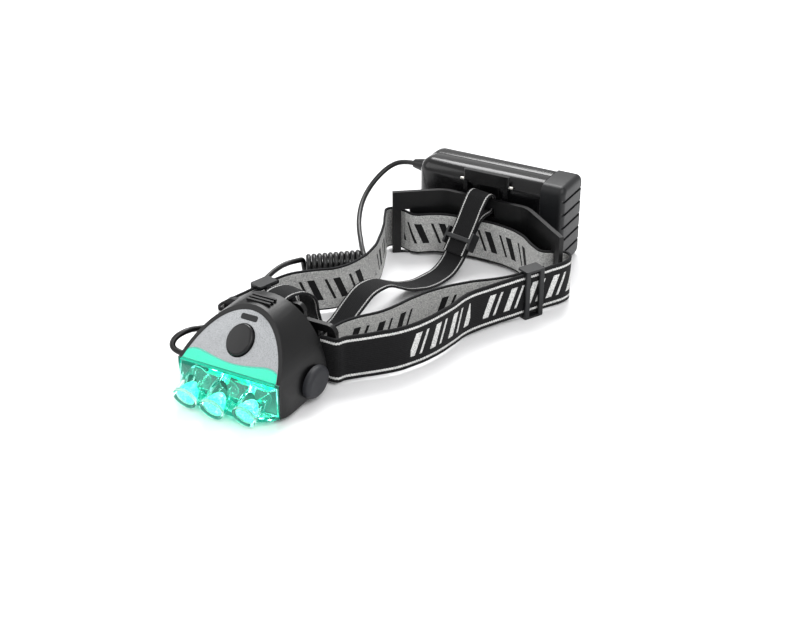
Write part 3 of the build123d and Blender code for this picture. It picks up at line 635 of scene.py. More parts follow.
@dataclass
class Finishes:
    """Every moulded, painted, clear and plated finish, built once.

    Keys are the record's slots, with barrel_lens, lit_cone and lit_lip for details.
    """

    made: dict[str, bpy.types.Material] = field(default_factory=dict)

    def __post_init__(self) -> None:
        """Build the finishes."""
        cyan = ("#08B493", "#0DF5CF", "#C8FFF6")
        cone = ("#0DE3BC", "#6FFBE2", "#FFFFFF")
        hot = ("#7BFFE6", "#D8FFF8", "#FFFFFF")
        recipes = {
            # ABS from a fine spark-eroded mould: deep black with broad, soft highlights
            "satin_black_plastic": MouldedPlastic("satin_black_abs", "#050506", 0.36, 0.45, 0.12, 0.28),
            # ABS from a polished mould: narrower, brighter highlights
            "gloss_black_plastic": MouldedPlastic("gloss_black_abs", "#050506", 0.22, 0.8, 0.05, 0.3, 0.15),
            # nylon from a coarser mould: a little paler, with a visible grain
            "dark_grey_plastic": MouldedPlastic("textured_grey_nylon", "#101113", 0.42, 0.4, 0.2, 0.3),
            # moulded TPE: charcoal, matt and slightly powdery
            "soft_grey_rubber": MouldedPlastic("soft_grey_tpe", "#1E1F23", 0.55, 0.35, 0.25, 0.3),
            # moulded silicone: smooth, with a soft sheen
            "black_rubber": MouldedPlastic("black_silicone", "#08080A", 0.36, 0.35, 0.1, 0.35),
            # extruded polyurethane: smooth black with a long highlight
            "cable_jacket": MouldedPlastic("pu_cable_jacket", "#070708", 0.34, 0.5, 0.1, 0.4),
            "silver_paint": MetallicPaint(),
            "clear_lens": ClearPolycarbonate("clear_polycarbonate"),
            # the barrels' clearer optics: almost no glow of their own
            "barrel_lens": ClearPolycarbonate("optic_polycarbonate", "#E6FFF9", "#0DF5CF", 0.04, 0.03),
            # the window's lip, which collects the light at its edge
            "lit_lip": ClearPolycarbonate("edge_lit_polycarbonate", "#8FF5DE", "#0CE8C0", 0.3, 0.2),
            "lit_cone": LitSurface("lit_cone", cone, 0.9, 0.9),
            "led_glow": LitSurface("lit_led_resin", hot, 16.0, 1.0),
            "lit_tray": LitSurface("lit_reflector", cyan, 1.0),
            # solder mask on glass-epoxy board: dark green with a plastic shine
            "circuit_board": MouldedPlastic("green_solder_mask", "#0F4A2C", 0.3, 0.6, 0.1),
            "steel": PlatedSteel(),
            # shrunk PVC sleeve: blue-grey and shiny
            "cell_wrap": MouldedPlastic("printed_cell_sleeve", "#4A5560", 0.25, 0.5, 0.05),
            "foam": KnitFoam(),
        }
        for slot, recipe in recipes.items():
            self.made[slot] = recipe.build()

    def __getitem__(self, slot: str) -> bpy.types.Material:
        """The material of a slot."""
        return self.made[slot]


def selvedge(stem: str) -> bpy.types.Material:
    """The black edge of a strap, where the weft turns back."""
    return MouldedPlastic(f"{stem}_selvedge", "#131315", 0.85, 0.6, 0.5, 0.25).build()


def webbing_set(
    width_mm: float, stem: str, motif: tuple[tuple[float, float], ...] = ()
) -> list[bpy.types.Material]:
    """The three finishes of a headband strap.

    Args:
        width_mm: the strap's width.
        stem: how the materials' names begin.
        motif: where the bars start and end along the strap, in metres.

    Returns:
        Its face, its reverse and its selvedge.
    """
    face = Webbing(f"{stem}_face", width_mm, Side.FACE, "#070708", "#D4D4D2", 1.9, 3.2, motif)
    reverse = Webbing(f"{stem}_reverse", width_mm, Side.REVERSE, "#0E0E0F", "#B2B2B0", 1.0, 2.2, motif)
    return [face.build(), reverse.build(), selvedge(stem)]


# ---------------------------------------------------------------- lines
def bent_line(corners: list[Vector], reach: float = 0.45, step: float = 0.9 * MM) -> list[Vector]:
    """A line of straight runs joined by tangent arcs, as a stiff strap bends.

    Args:
        corners: where the runs meet, in metres.
        reach: the share of the shorter run that a bend takes at each corner.
        step: the distance between points.

    Returns:
        Points along the line.
    """
    line = [corners[0]]
    for before, at, after in zip(corners, corners[1:], corners[2:]):
        come, leave = at - before, after - at
        tangent = reach * min(come.length, leave.length)
        start = at - come.normalized() * tangent
        end = at + leave.normalized() * tangent
        weight = math.cos(come.angle(leave) / 2)
        pieces = max(4, int(2 * tangent / step))
        for i in range(pieces + 1):
            t = i / pieces
            a, b, c = (1 - t) ** 2, 2 * t * (1 - t) * weight, t * t
            line.append((start * a + at * b + end * c) / (a + b + c))
    line.append(corners[-1])
    return resampled(line, step)


def resampled(line: list[Vector], step: float) -> list[Vector]:
    """The same line with points at even distances.

    Args:
        line: the line's points.
        step: about how far apart the new points are.

    Returns:
        The new points.
    """
    gone = [0.0]
    for a, b in zip(line, line[1:]):
        gone.append(gone[-1] + (b - a).length)
    count = max(2, round(gone[-1] / step))
    points, k = [], 0
    for i in range(count + 1):
        want = gone[-1] * i / count
        while k < len(gone) - 2 and gone[k + 1] < want:
            k += 1
        span = gone[k + 1] - gone[k]
        share = (want - gone[k]) / span if span > 1e-9 else 0.0
        points.append(line[k].lerp(line[k + 1], min(1.0, share)))
    return points


def line_length(line: list[Vector]) -> float:
    """The length of a line of points."""
    return sum((b - a).length for a, b in zip(line, line[1:]))


def route_points(corners: list[Vector], name: str) -> list[Vector]:
    """Points along the quadratic NURBS line that the given control points make.

    Args:
        corners: the control points, in metres.
        name: a name for the working curve.

    Returns:
        Points read from the evaluated curve.
    """
    data = bpy.data.curves.new(name, "CURVE")
    data.dimensions = "3D"
    spline = data.splines.new("NURBS")
    spline.points.add(len(corners) - 1)
    for point, at in zip(spline.points, corners):
        point.co = (*at, 1.0)
    spline.order_u = 3
    spline.use_endpoint_u = True
    spline.resolution_u = 16
    curve = bpy.data.objects.new(name, data)
    bpy.context.scene.collection.objects.link(curve)
    bpy.context.view_layer.update()
    graph = bpy.context.evaluated_depsgraph_get()
    mesh = bpy.data.meshes.new_from_object(curve.evaluated_get(graph))
    points = [v.co.copy() for v in mesh.vertices]
    bpy.data.objects.remove(curve)
    return points


def along_line(line: list[Vector], across: int) -> tuple[bmesh.types.BMesh, Laid]:
    """A grid with one row for each point of a line, ready to be laid along it.

    Args:
        line: the line's points.
        across: how many faces lie across it.

    Returns:
        The bmesh, and each vertex with its point's number and its share of the way across.
    """
    bm = bmesh.new()
    rows = len(line) - 1
    bmesh.ops.create_grid(bm, x_segments=rows, y_segments=across, size=1.0)
    placed = [(v, round((v.co.x + 1) / 2 * rows), (v.co.y + 1) / 2) for v in bm.verts]
    return bm, placed


def headings(line: list[Vector]) -> list[Vector]:
    """The direction of a line at each of its points."""
    ends = zip([line[0], *line[:-1]], [*line[1:], line[-1]])
    return [(b - a).normalized() for a, b in ends]


def tube(line: list[Vector], radius: float, name: str, sides: int = 14) -> bpy.types.Object:
    """A round tube along a line, closed at both ends.

    Args:
        line: its centreline.
        radius: its radius in metres.
        name: the piece's name.
        sides: how many faces go round it.

    Returns:
        The new piece.
    """
    ahead = headings(line)
    frames = [ahead[0].to_track_quat("Z", "Y").to_matrix()]
    for before, after in zip(ahead, ahead[1:]):
        frames.append(before.rotation_difference(after).to_matrix() @ frames[-1])
    bm, placed = along_line(line, sides)
    for v, i, share in placed:
        turn = 2 * math.pi * share
        v.co = line[i] + frames[i] @ Vector((math.cos(turn), math.sin(turn), 0)) * radius
    seam = radius * 0.01
    bmesh.ops.remove_doubles(bm, verts=bm.verts, dist=seam)
    bmesh.ops.holes_fill(bm, edges=[e for e in bm.edges if e.is_boundary])
    piece = piece_from(bm, name)
    keep_edges(piece, degrees=60)
    return piece


# ---------------------------------------------------------------- straps
@dataclass
class Strap:
    """One run of woven strap on a given line.

    Attributes:
        name: the piece's name.
        corners: where its straight runs meet, in millimetres.
        across: the direction of its width.
        width: its width in millimetres.
        thick: its thickness in millimetres.
        node: the CAD node that it stands for.
        flipped: whether the reverse side lies where the face would.
        held: how the cloth is held; not used.
        rests_on: the nodes that it lies on.
        ripple: how far its edges wander, in millimetres.
        waves: each wave of an edge as its height, its radians for each metre and its lag across the strap.
        cloth: the share of the thickness that the cloth fills, so that layers lie apart.
        trim: the share of the thickness by which the cloth is narrower than the strap.
        rim_round: the round of its selvedge, in millimetres.
        faces_across: how many faces lie across it.
    """

    name: str
    corners: list[Point]
    across: Vector
    width: float
    thick: float
    node: str
    flipped: bool = False
    held: str = "folded"
    rests_on: tuple[str, ...] = ()
    ripple: float = 0.12
    waves: tuple[Triple, ...] = ((1.0, 210.0, 4.0), (0.6, 470.0, 9.0))
    cloth: float = 0.96
    trim: float = 0.25
    rim_round: float = 0.3
    faces_across: int = 10

    def stand_off(self, gone: float, share: float) -> float:
        """How far the cloth stands off its line, most at its edges.

        Args:
            gone: the distance along the strap, in metres.
            share: the share of the way across it.

        Returns:
            The distance in millimetres.
        """
        wander = sum(height * math.sin(gone * rate + lag * share) for height, rate, lag in self.waves)
        return wander * (2 * share - 1) ** 2 * self.ripple

    def skin(self, line: list[Vector]) -> bmesh.types.BMesh:
        """The strap's middle layer along a line, with its weave map, its face to the front.

        Args:
            line: the strap's centreline.

        Returns:
            The open sheet.
        """
        length = line_length(line)
        ahead = headings(line)
        bm, placed = along_line(line, self.faces_across)
        weave = bm.loops.layers.uv.new("weave")
        where, row_of = {}, {}
        for v, i, share in placed:
            gone = length * i / (len(line) - 1)
            out = ahead[i].cross(self.across).normalized()
            v.co = line[i] + self.across * (share - 0.5) * (self.width - self.thick * self.trim) * MM
            v.co += out * self.stand_off(gone, share) * MM
            where[v] = (gone, share)
            row_of[v] = i
        for face in bm.faces:
            for loop in face.loops:
                loop[weave].uv = where[loop.vert]
        first = next(iter(bm.faces))
        first.normal_update()
        front = ahead[row_of[first.verts[0]]].cross(self.across)
        if (first.normal.dot(front) < 0) != self.flipped:
            bmesh.ops.reverse_faces(bm, faces=bm.faces)
        return bm

    def build(self, finishes: list[bpy.types.Material]) -> bpy.types.Object:
        """Make the strap.

        Args:
            finishes: its face, reverse and selvedge.

        Returns:
            The piece.
        """
        line = bent_line([mm(*c) for c in self.corners])
        length = line_length(line)
        piece = piece_from(self.skin(line), self.name, outwards=False)
        for finish in finishes:
            piece.data.materials.append(finish)
        add_modifier(
            piece,
            "SOLIDIFY",
            thickness=self.thick * MM * self.cloth,
            offset=0.0,
            use_even_offset=True,
            material_offset=1,
            material_offset_rim=2,
        )
        round_rim(piece, self.rim_round)
        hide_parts(self.node)
        settle(piece, self.node)
        list(self.rests_on)
        log.info("%s is %.0f mm long", self.name, length * 1000)
        return piece


@dataclass
class Headband:
    """The elastic headband: an outer and an inner run through the near buckle, the rear and the far run."""

    thick: float = 1.4
    width: float = 25.0
    middle: float = 14.1
    near_motif: tuple[tuple[float, float], ...] = ((0.048, 0.094), (0.103, 0.168))
    far_motif: tuple[tuple[float, float], ...] = ((0.018, 0.062), (0.074, 0.13))

    def at(self, *points: tuple[float, float]) -> list[Point]:
        """Corners in plan as points at the band's middle height."""
        return [(x, y, self.middle) for x, y in points]

    def runs(self) -> list[Strap]:
        """The band's five runs.

        Returns:
            The straps, before they are built.
        """
        outer = self.at(
            (-6.5, -72), (3, -72), (4, -68), (13, -59), (24, -47), (31, -32), (35, -14),
            (36.5, 2), (42, 14), (62, 52), (65.8, 58.5), (67, 66), (62, 71.5), (55.6, 68.1),
        )
        inner = self.at(
            (-6.5, -71.3), (-6.5, -63), (-3, -50), (8, -36), (13, -18), (19.5, -1),
            (31, 14), (47.8, 29.7), (58.05, 49.2),
        )
        rear = self.at(
            (55.6, 68.1), (49.2, 64.7), (42, 69.5), (30, 80.5), (15, 84.4), (-4, 84.3),
            (-22, 81), (-33, 72.5), (-40.4, 75.1),
        )
        far = self.at(
            (-40.4, 75.1), (-47, 77.4), (-51.5, 72.5), (-47, 63.5), (-40, 49), (-33, 30), (-31, 12),
            (-36, -5), (-48, -15), (-56.5, -24), (-65, -54), (-68, -68), (-67, -72), (-57.5, -72),
        )
        tail = self.at((-56.6, -32.4), (-61.5, -49.8), (-57.5, -63), (-57.5, -71.3))
        size = {"across": Vector((0, 0, 1)), "width": self.width, "thick": self.thick}
        return [
            Strap("headband_outer_run", outer, node="headband_near_outer", **size),
            Strap("headband_inner_run", inner, node="headband_near_inner", flipped=True, **size),
            Strap("headband_rear_run", rear, node="headband_rear", **size),
            Strap("headband_far_run", far, node="headband_far", **size),
            Strap("headband_far_tail_run", tail, node="headband_far_tail", flipped=True, **size),
        ]

    def build(self) -> list[bpy.types.Object]:
        """Make the band.

        Returns:
            Its runs.
        """
        near = webbing_set(self.width, "headband", self.near_motif)
        far = webbing_set(self.width, "headband_plain", self.far_motif)
        return [run.build(near if run.node == "headband_near_outer" else far) for run in self.runs()]


@dataclass
class Overhead:
    """The narrow strap that passes over the head, folded down into a big loop.

    Its side view is a list of distances along a straight line in plan, each with a height.
    """

    width: float = 15.0
    thick: float = 1.2
    start: tuple[float, float] = (-32.0, -69.0)
    ahead: tuple[float, float] = (0.2048, 0.9788)
    profile: tuple[tuple[float, float], ...] = (
        (10, 26.5), (5.8, 31.4), (-2.6, 32), (-4.7, 35.5), (-3, 40.8), (3, 41.3), (12, 39.5), (20, 33),
        (21, 22), (27, 8), (40, 3.5), (52, 12), (63, 18.5), (76, 18), (93, 8), (111, 2.5), (128.3, 2.8),
        (136.8, 8), (151.8, 27.5), (156.3, 30), (163.6, 30.4), (165.7, 34.6), (164.6, 40.6), (158.8, 41),
        (154.3, 35.5), (148.2, 26.1), (137.2, 11.8),
    )

    def build(self) -> bpy.types.Object:
        """Make the strap.

        Returns:
            The piece.
        """
        (x, y), (ahead_x, ahead_y) = self.start, self.ahead
        corners = [(x + s * ahead_x, y + s * ahead_y, z) for s, z in self.profile]
        face = Webbing("overhead_face", self.width, Side.FACE, "#0B0B0C", "#C4C4C2", 1.0, 1.7)
        back = Webbing("overhead_reverse", self.width, Side.FACE, "#0E0E0F", "#ABABAA", 1.0, 1.7)
        return Strap(
            "overhead_strap_run",
            corners,
            across=Vector((ahead_y, -ahead_x, 0)).normalized(),
            width=self.width,
            thick=self.thick,
            node="top_strap",
            held="laid",
            rests_on=("head_bracket", "pack_cradle"),
        ).build([face.build(), back.build(), selvedge("overhead")])


# ---------------------------------------------------------------- cable
@dataclass
class CurlyCable:
    """The cable: a lead from the pack, a tight coil and a lead that folds back into the lamp."""

    diameter: float = 3.0
    coil_across: float = 14.0
    coil_ends: tuple[Point, Point] = ((-75, 17, 7.3), (-46, 41, 7.3))
    spare: float = 1.6
    turns: float = 11.09
    turn_points: int = 28
    start_degrees: float = 51.6
    clear: float = 7.5
    tube_step: float = 0.7
    path_step: float = 1.2
    ease_step: float = 0.9
    ease_rounds: int = 3
    rear: tuple[Point, ...] = (
        (-53, 109.5, 40), (-61, 109.5, 40), (-68, 104, 36.5), (-72.5, 94, 29.5), (-72, 81, 23.5),
        (-67, 68, 18.5), (-60, 56.5, 15.5), (-53, 47.5, 12.6), (-50, 40.5, 10),
    )
    front: tuple[Point, ...] = (
        (-71.5, 20.5, 11.5), (-79, 12.5, 12), (-83, -1, 9.5), (-82, -17, 6), (-78.5, -33, 4.5),
        (-75, -49, 6), (-72.5, -64, 10.5), (-71, -76.5, 15.5), (-70.5, -85, 19),
    )
    fold: tuple[Point, ...] = (
        (-70.48, -85.35, 19.15), (-70, -93, 22.5), (-73, -100.5, 21.6), (-73.4, -104.6, 18),
        (-70, -103.5, 15), (-65, -103.5, 15),
    )

    def coil(self) -> list[Vector]:
        """The coil's centreline.

        Returns:
            Its points from its pack end to its lamp end.
        """
        lamp_end, pack_end = (mm(*p) for p in self.coil_ends)
        axis = (pack_end - lamp_end).normalized()
        side = Vector((-axis.y, axis.x, 0))
        up = Vector((0, 0, 1))
        radius = (self.coil_across - self.diameter) / 2 * MM
        whole = (pack_end - lamp_end).length
        spare = self.spare * MM
        count = round(self.turns * self.turn_points)
        points = []
        for i in range(count + 1):
            share = i / count
            turn = math.radians(self.start_degrees) + 2 * math.pi * self.turns * share
            down = spare + (whole - 2 * spare) * (1 - share)
            points.append(lamp_end + axis * down + (side * math.cos(turn) + up * math.sin(turn)) * radius)
        return points

    def eased(self, line: list[Vector]) -> list[Vector]:
        """A line with the joints of its coil and leads eased by averaging, its ends kept.

        Args:
            line: the line's points.

        Returns:
            The eased points.
        """
        line = resampled(line, self.ease_step * MM)
        for _ in range(self.ease_rounds):
            inner = [(a + b * 2 + c) / 4 for a, b, c in zip(line, line[1:], line[2:])]
            line = [line[0], *inner, line[-1]]
        return line

    def centreline(self) -> list[Vector]:
        """The whole cable's line, with both leads joined to the coil.

        Returns:
            Its points from the pack to the lamp.
        """
        rear = route_points([mm(*p) for p in self.rear], "rear_line")
        front = route_points([mm(*p) for p in self.front + self.fold], "front_line")
        coil = self.coil()
        clear = self.clear * MM
        rear = [p for p in rear if (p - coil[0]).length > clear]
        first = next(i for i, p in enumerate(front) if (p - coil[-1]).length > clear)
        skip = self.turn_points // 5
        return self.eased(rear + coil[skip:-skip] + front[first:])

    def build(self, finishes: Finishes) -> bpy.types.Object:
        """Make the cable.

        Args:
            finishes: every finish.

        Returns:
            The piece.
        """
        line = self.centreline()
        piece = tube(resampled(line, self.tube_step * MM), self.diameter / 2 * MM, "curly_cable")
        dress(piece, finishes["cable_jacket"])
        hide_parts("cable_rear_lead", "cable_curl", "cable_front_lead", "cable_loop")
        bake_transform(piece)
        mm(*self.rear[0])
        line_length(line)
        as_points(resampled(line, self.path_step * MM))
        log.info("%s is %.0f mm long", piece.name, line_length(line) * 1000)
        return piece


# ---------------------------------------------------------------- hard pieces
@dataclass
class LampHead:
    """The tilting lamp: arched shell, painted face, lit window, barrels, button and side pads.

    Sizes are in millimetres.

    Attributes:
        rounds: the round of each moulding's edges.
        fall: how far the barrels look down, in degrees.
        fronts: the middles of the barrels' fronts in plan.
        front_height: how high those middles are.
        cone_back: how far behind them the reflectors start.
        cone: a reflector's side view, as radii with distances from its LED.
        cone_faces: how many faces go round a reflector.
        cone_wall: a reflector's thickness.
        middle: the lamp's middle, across.
        sill: the foot of the painted face, as a depth and a height.
        lean: how far the face leans back, in degrees.
        arch: the shell's arch, as its half width, its rise and the height that it springs from.
        lip_reach: the lip's height up the face: in the middle, added at the wings, taken off at the corners.
        lip_proud: how far it stands off the face: at least, added at its foot, taken off at its edge.
        lip_below: how far it starts below the face's foot.
        lip_gap: the gap between it and the arch.
        lip_thick: its thickness.
        lip_round: the round of its rim.
        plate: the badge's half width, half height and distance up the face.
        plate_proud: how far the badge stands off the face.
        plate_sunk: how far its foot is sunk into the face.
        plate_round: the round of its corners.
    """

    rounds: dict[str, float] = field(
        default_factory=lambda: {
            "lamp_shell": 0.5,
            "face_cover": 0.25,
            "lens_window": 0.3,
            "lens_barrels": 0.12,
            "lens_gasket": 0.1,
            "power_button": 0.5,
            "side_pad_left": 0.4,
            "side_pad_right": 0.4,
            "reflector_tray": 0.1,
            "cable_gland": 0.25,
        }
    )
    fall: float = 20.0
    fronts: tuple[tuple[float, float], ...] = ((-49, -128), (-32, -130), (-15, -128))
    front_height: float = 7.2
    cone_back: float = 10.4
    cone: tuple[tuple[float, float], ...] = (
        (1.2, 0.0), (2.2, 0.9), (2.4, 1.0), (3.3, 2.8), (3.6, 2.9), (4.4, 5.8), (4.7, 5.9), (4.85, 7.4)
    )
    cone_faces: int = 40
    cone_wall: float = 0.25
    middle: float = -32.0
    sill: tuple[float, float] = (-114.0, 21.0)
    lean: float = 45.0
    arch: Triple = (28.9, 34.9, 8.0)
    lip_reach: Triple = (3.6, 5.2, 4.0)
    lip_proud: Triple = (0.35, 0.62, 0.13)
    lip_below: float = 1.6
    lip_gap: float = 0.15
    lip_thick: float = 0.45
    lip_round: float = 0.12
    plate: Triple = (4.6, 1.5, 27.3)
    plate_proud: float = 0.15
    plate_sunk: float = 0.2
    plate_round: float = 0.9

    def build(self, finishes: Finishes) -> list[bpy.types.Object]:
        """Make the lamp's pieces.

        Args:
            finishes: every finish.

        Returns:
            The pieces.
        """
        pieces = []
        for node, width in self.rounds.items():
            finish = finishes["barrel_lens" if node == "lens_barrels" else slot_of(node)]
            pieces.append(moulded(node, width, finish))
        pieces += self.reflectors(finishes)
        pieces.append(self.window_lip(finishes))
        pieces.append(self.badge(finishes))
        return pieces

    def reflectors(self, finishes: Finishes) -> list[bpy.types.Object]:
        """A stepped cone inside each barrel, as bright as its LED makes it.

        Args:
            finishes: every finish.

        Returns:
            The three cones.
        """
        fall = math.radians(self.fall)
        aim = Vector((0, -math.cos(fall), -math.sin(fall)))
        turn = aim.to_track_quat("Z", "Y").to_matrix()
        pieces = []
        for i, (x, y) in enumerate(self.fronts):
            bm = bmesh.new()
            steps = [bm.verts.new((radius * MM, 0, height * MM)) for radius, height in self.cone]
            edges = [bm.edges.new(pair) for pair in zip(steps, steps[1:])]
            bmesh.ops.spin(
                bm,
                geom=[*steps, *edges],
                cent=(0, 0, 0),
                axis=(0, 0, 1),
                angle=2 * math.pi,
                steps=self.cone_faces,
                use_merge=True,
            )
            base = mm(x, y, self.front_height) - aim * self.cone_back * MM
            for v in bm.verts:
                v.co = base + turn @ v.co
            piece = piece_from(bm, f"barrel_reflector_{i}")
            add_modifier(piece, "SOLIDIFY", thickness=self.cone_wall * MM, offset=0.0)
            dress(piece, finishes["lit_cone"])
            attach(piece, "lamp")
            pieces.append(piece)
        return pieces

    def window_lip(self, finishes: Finishes) -> bpy.types.Object:
        """The window's scalloped lip, which laps up over the foot of the painted face.

        Args:
            finishes: every finish.

        Returns:
            The lip.
        """
        tilt = math.radians(self.lean)
        half, rise, spring = self.arch
        middle_reach, wings, corners = self.lip_reach
        least, foot, edge = self.lip_proud
        depth, height = self.sill
        bm = bmesh.new()
        bmesh.ops.create_grid(bm, x_segments=48, y_segments=14, size=1.0)
        for v in bm.verts:
            u, w = v.co.x, (v.co.y + 1) / 2
            reach = middle_reach + wings * abs(u) ** 1.8 - corners * abs(u) ** 7
            up = w * (reach + self.lip_below) - self.lip_below
            z = height + up * math.sin(tilt)
            across = half * math.sqrt(1 - ((z - spring) / rise) ** 2) - self.lip_gap
            proud = least + foot * (1 - w) ** 6 - edge * w**4
            y = depth + up * math.cos(tilt) - proud * math.sin(tilt)
            v.co = mm(self.middle + u * across, y, z + proud * math.cos(tilt))
        lip = piece_from(bm, "window_lip")
        if lip.data.polygons[0].normal.z < 0:
            lip.data.flip_normals()
        add_modifier(lip, "SOLIDIFY", thickness=self.lip_thick * MM, offset=-0.2)
        round_rim(lip, self.lip_round)
        dress(lip, finishes["lit_lip"])
        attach(lip, "lamp")
        return lip

    def badge(self, finishes: Finishes) -> bpy.types.Object:
        """A plain rounded plate above the button.

        Args:
            finishes: every finish.

        Returns:
            The plate.
        """
        tilt = math.radians(self.lean)
        half_wide, half_high, up_face = self.plate
        depth, height = self.sill
        bm = bmesh.new()
        bmesh.ops.create_grid(bm, x_segments=1, y_segments=1, size=1.0)
        for v in bm.verts:
            v.co = Vector((v.co.x * half_wide * MM, v.co.y * half_high * MM, 0))
        bmesh.ops.bevel(
            bm,
            geom=bm.verts[:],
            offset=self.plate_round * MM,
            segments=5,
            profile=0.5,
            affect="VERTICES",
            material=-1,
        )
        top = bmesh.ops.extrude_face_region(bm, geom=bm.faces[:])
        for v in [g for g in top["geom"] if isinstance(g, bmesh.types.BMVert)]:
            v.co.z += (self.plate_proud + self.plate_sunk) * MM
        foot = mm(
            self.middle,
            depth + up_face * math.cos(tilt) + self.plate_sunk * math.sin(tilt),
            height + up_face * math.sin(tilt) - self.plate_sunk * math.cos(tilt),
        )
        turn = Matrix.Rotation(tilt, 3, "X")
        for v in bm.verts:
            v.co = foot + turn @ v.co
        plate = piece_from(bm, "face_badge")
        keep_edges(plate, degrees=40)
        dress(plate, finishes["dark_grey_plastic"])
        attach(plate, "lamp")
        return plate


@dataclass
class HardParts:
    """The bracket, buckles, cradle and small pack parts, which keep their CAD form with rounded edges."""

    rounds: dict[str, float] = field(
        default_factory=lambda: {
            "head_bracket": 0.4,
            "hinge_pin": 0.2,
            "near_buckle": 0.35,
            "far_buckle": 0.35,
            "top_buckle": 0.3,
            "pack_cradle": 0.9,
            "battery_door": 0.35,
            "pack_latch": 0.3,
            "strain_relief": 0.25,
            "case_screws": 0.1,
        }
    )

    def build(self, finishes: Finishes) -> list[bpy.types.Object]:
        """Make the pieces.

        Args:
            finishes: every finish.

        Returns:
            The pieces.
        """
        return [moulded(node, width, finishes[slot_of(node)]) for node, width in self.rounds.items()]


@dataclass
class PackCase:
    """The battery pack's two case halves, with full rounded edges and a shadow gap at the parting line."""

    low: Point = (-44.0, 95.5, 0.0)
    high: Point = (34.2, 123.5, 50.0)
    parting: float = 109.5
    edge_round: float = 7.6
    round_faces: int = 9
    groove: float = 0.3
    wall: float = 1.0
    rim_round: float = 0.25

    def half(self, side: int) -> bmesh.types.BMesh:
        """One half's outer skin, open at the door's end and at the parting line.

        Args:
            side: -1 for the half in front of the parting line, 1 for the one behind it.

        Returns:
            The open skin.
        """
        bm = bmesh.new()
        bmesh.ops.create_cube(bm, size=1.0)
        low, high = mm(*self.low), mm(*self.high)
        for v in bm.verts:
            v.co = Vector((low[k] if v.co[k] < 0 else high[k]) for k in range(3))
        open_end = [e for e in bm.edges if all(abs(v.co.x - high.x) < MERGE_DISTANCE for v in e.verts)]
        bmesh.ops.bevel(
            bm,
            geom=[e for e in bm.edges if e not in open_end],
            offset=self.edge_round * MM,
            segments=self.round_faces,
            profile=0.5,
            affect="EDGES",
            material=-1,
        )
        cut = mm(0, self.parting + side * self.groove / 2, 0)
        bmesh.ops.bisect_plane(
            bm, geom=[*bm.verts, *bm.edges, *bm.faces], plane_co=cut, plane_no=(0, -side, 0), clear_outer=True
        )
        ends = [f for f in bm.faces if f.calc_center_median().x > high.x - 0.01 * MM]
        bmesh.ops.delete(bm, geom=ends, context="FACES")
        return bm

    def build(self, finishes: Finishes) -> list[bpy.types.Object]:
        """Make both halves.

        Args:
            finishes: every finish.

        Returns:
            The front and the back half.
        """
        pieces = []
        for node, side in (("battery_case_front", -1), ("battery_case_back", 1)):
            piece = piece_from(self.half(side), f"{node}_half")
            keep_edges(piece, degrees=40)
            add_modifier(piece, "SOLIDIFY", thickness=self.wall * MM, offset=-1.0)
            round_rim(piece, self.rim_round)
            dress(piece, finishes[slot_of(node)])
            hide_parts(node)
            pieces.append(settle(piece, node))
        return pieces


@dataclass
class Cushions:
    """The foam pads behind the bracket and on the cradle."""

    pads: tuple[str, ...] = ("forehead_pad", "cradle_pad")
    crown: float = 1.2
    crown_faces: int = 4
    fill: float = 0.9

    def build(self, finishes: Finishes) -> list[bpy.types.Object]:
        """Make the pads.

        Args:
            finishes: every finish.

        Returns:
            The pads.
        """
        pieces = [moulded(node, self.crown, finishes["foam"], self.crown_faces) for node in self.pads]
        return pieces


# ---------------------------------------------------------------- stage
@dataclass(frozen=True)
class Softbox:
    """A square area light that looks at the middle of the headlamp. Its place and size are in metres."""

    name: str
    place: Point
    size: float
    power: float
    aim: Point = (0.0, -0.01, 0.02)

    def build(self) -> None:
        """Hang the light."""
        data = bpy.data.lights.new(self.name, "AREA")
        data.energy = self.power
        data.size = self.size
        light = bpy.data.objects.new(self.name, data)
        light.location = Vector(self.place)
        towards = Vector(self.aim) - light.location
        light.rotation_euler = towards.to_track_quat("-Z", "Y").to_euler()
        bpy.context.scene.collection.objects.link(light)


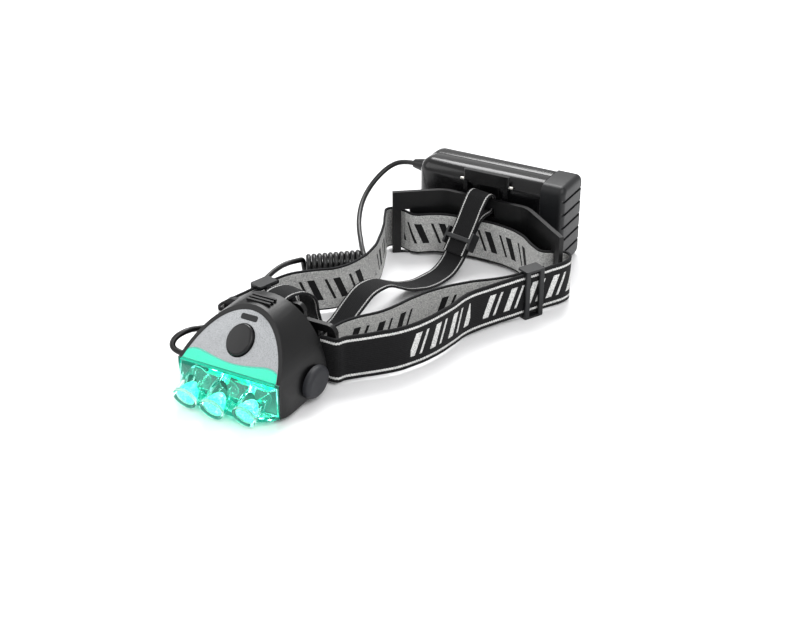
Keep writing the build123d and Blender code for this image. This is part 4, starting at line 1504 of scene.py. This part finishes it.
@dataclass
class Studio:
    """A plain pale floor, soft light and the camera."""

    eye: Point = (336.0, -610.0, 387.5)
    target: Point = (5.8, -14.1, 10.0)
    focal: float = 67.5
    sensor: float = 36.0
    floor_half: float = 4.0
    floor_colour: str = "#F4F4F5"
    sky: float = 0.72
    lights: tuple[Softbox, ...] = (
        Softbox("rear_softbox", (-0.35, 0.75, 1.1), 0.7, 17.0),
        Softbox("key_softbox", (0.9, -0.5, 1.2), 1.0, 12.0),
        Softbox("left_softbox", (-1.0, -0.7, 0.9), 1.0, 6.0),
    )

    def build(self) -> None:
        """Set the stage."""
        self.floor()
        for light in self.lights:
            light.build()
        scene = bpy.context.scene
        scene.world = scene.world or bpy.data.worlds.new("studio")
        scene.world.use_nodes = True
        sky = scene.world.node_tree.nodes["Background"]
        sky.inputs["Color"].default_value = linear("#FFFFFF")
        sky.inputs["Strength"].default_value = self.sky
        scene.view_settings.view_transform = "Standard"
        self.camera()

    def floor(self) -> None:
        """Lay the floor."""
        bm = bmesh.new()
        bmesh.ops.create_grid(bm, x_segments=1, y_segments=1, size=self.floor_half)
        floor = piece_from(bm, "studio_floor", smooth=False)
        material, _, shader = new_material("pale_floor")
        shader.inputs["Base Color"].default_value = linear(self.floor_colour)
        shader.inputs["Roughness"].default_value = 0.55
        dress(floor, material)
        floor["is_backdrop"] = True

    def camera(self) -> None:
        """Place the camera."""
        data = bpy.data.cameras.new("view")
        data.lens = self.focal
        data.sensor_width = self.sensor
        data.clip_start = 0.01
        camera = bpy.data.objects.new("view", data)
        camera.location = mm(*self.eye)
        towards = mm(*self.target) - camera.location
        camera.rotation_euler = towards.to_track_quat("-Z", "Y").to_euler()
        bpy.context.scene.collection.objects.link(camera)
        bpy.context.scene.camera = camera


def note_size() -> None:
    """Gather the model's bounds at the start and now, as lists."""
    boxes = {"cad": CAD_BOX, "end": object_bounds()}
    lists = {name: [list(corner) for corner in box] for name, box in boxes.items()}


def main() -> None:
    """Dress the whole headlamp, piece by piece."""
    finishes = Finishes()
    for node, solid in frame["nodes"].items():
        slot = slot_of(node)
        if slot in finishes.made:
            dress(solid, finishes[slot])
    Studio().build()
    pieces = [CurlyCable().build(finishes), *Headband().build(), Overhead().build()]
    for assembly in (LampHead(), HardParts(), PackCase(), Cushions()):
        pieces += assembly.build(finishes)
    for piece in pieces:
        log.info("%s: %d faces before its modifiers", piece.name, len(piece.data.polygons))
    note_size()


if __name__ == "__main__":
    main()
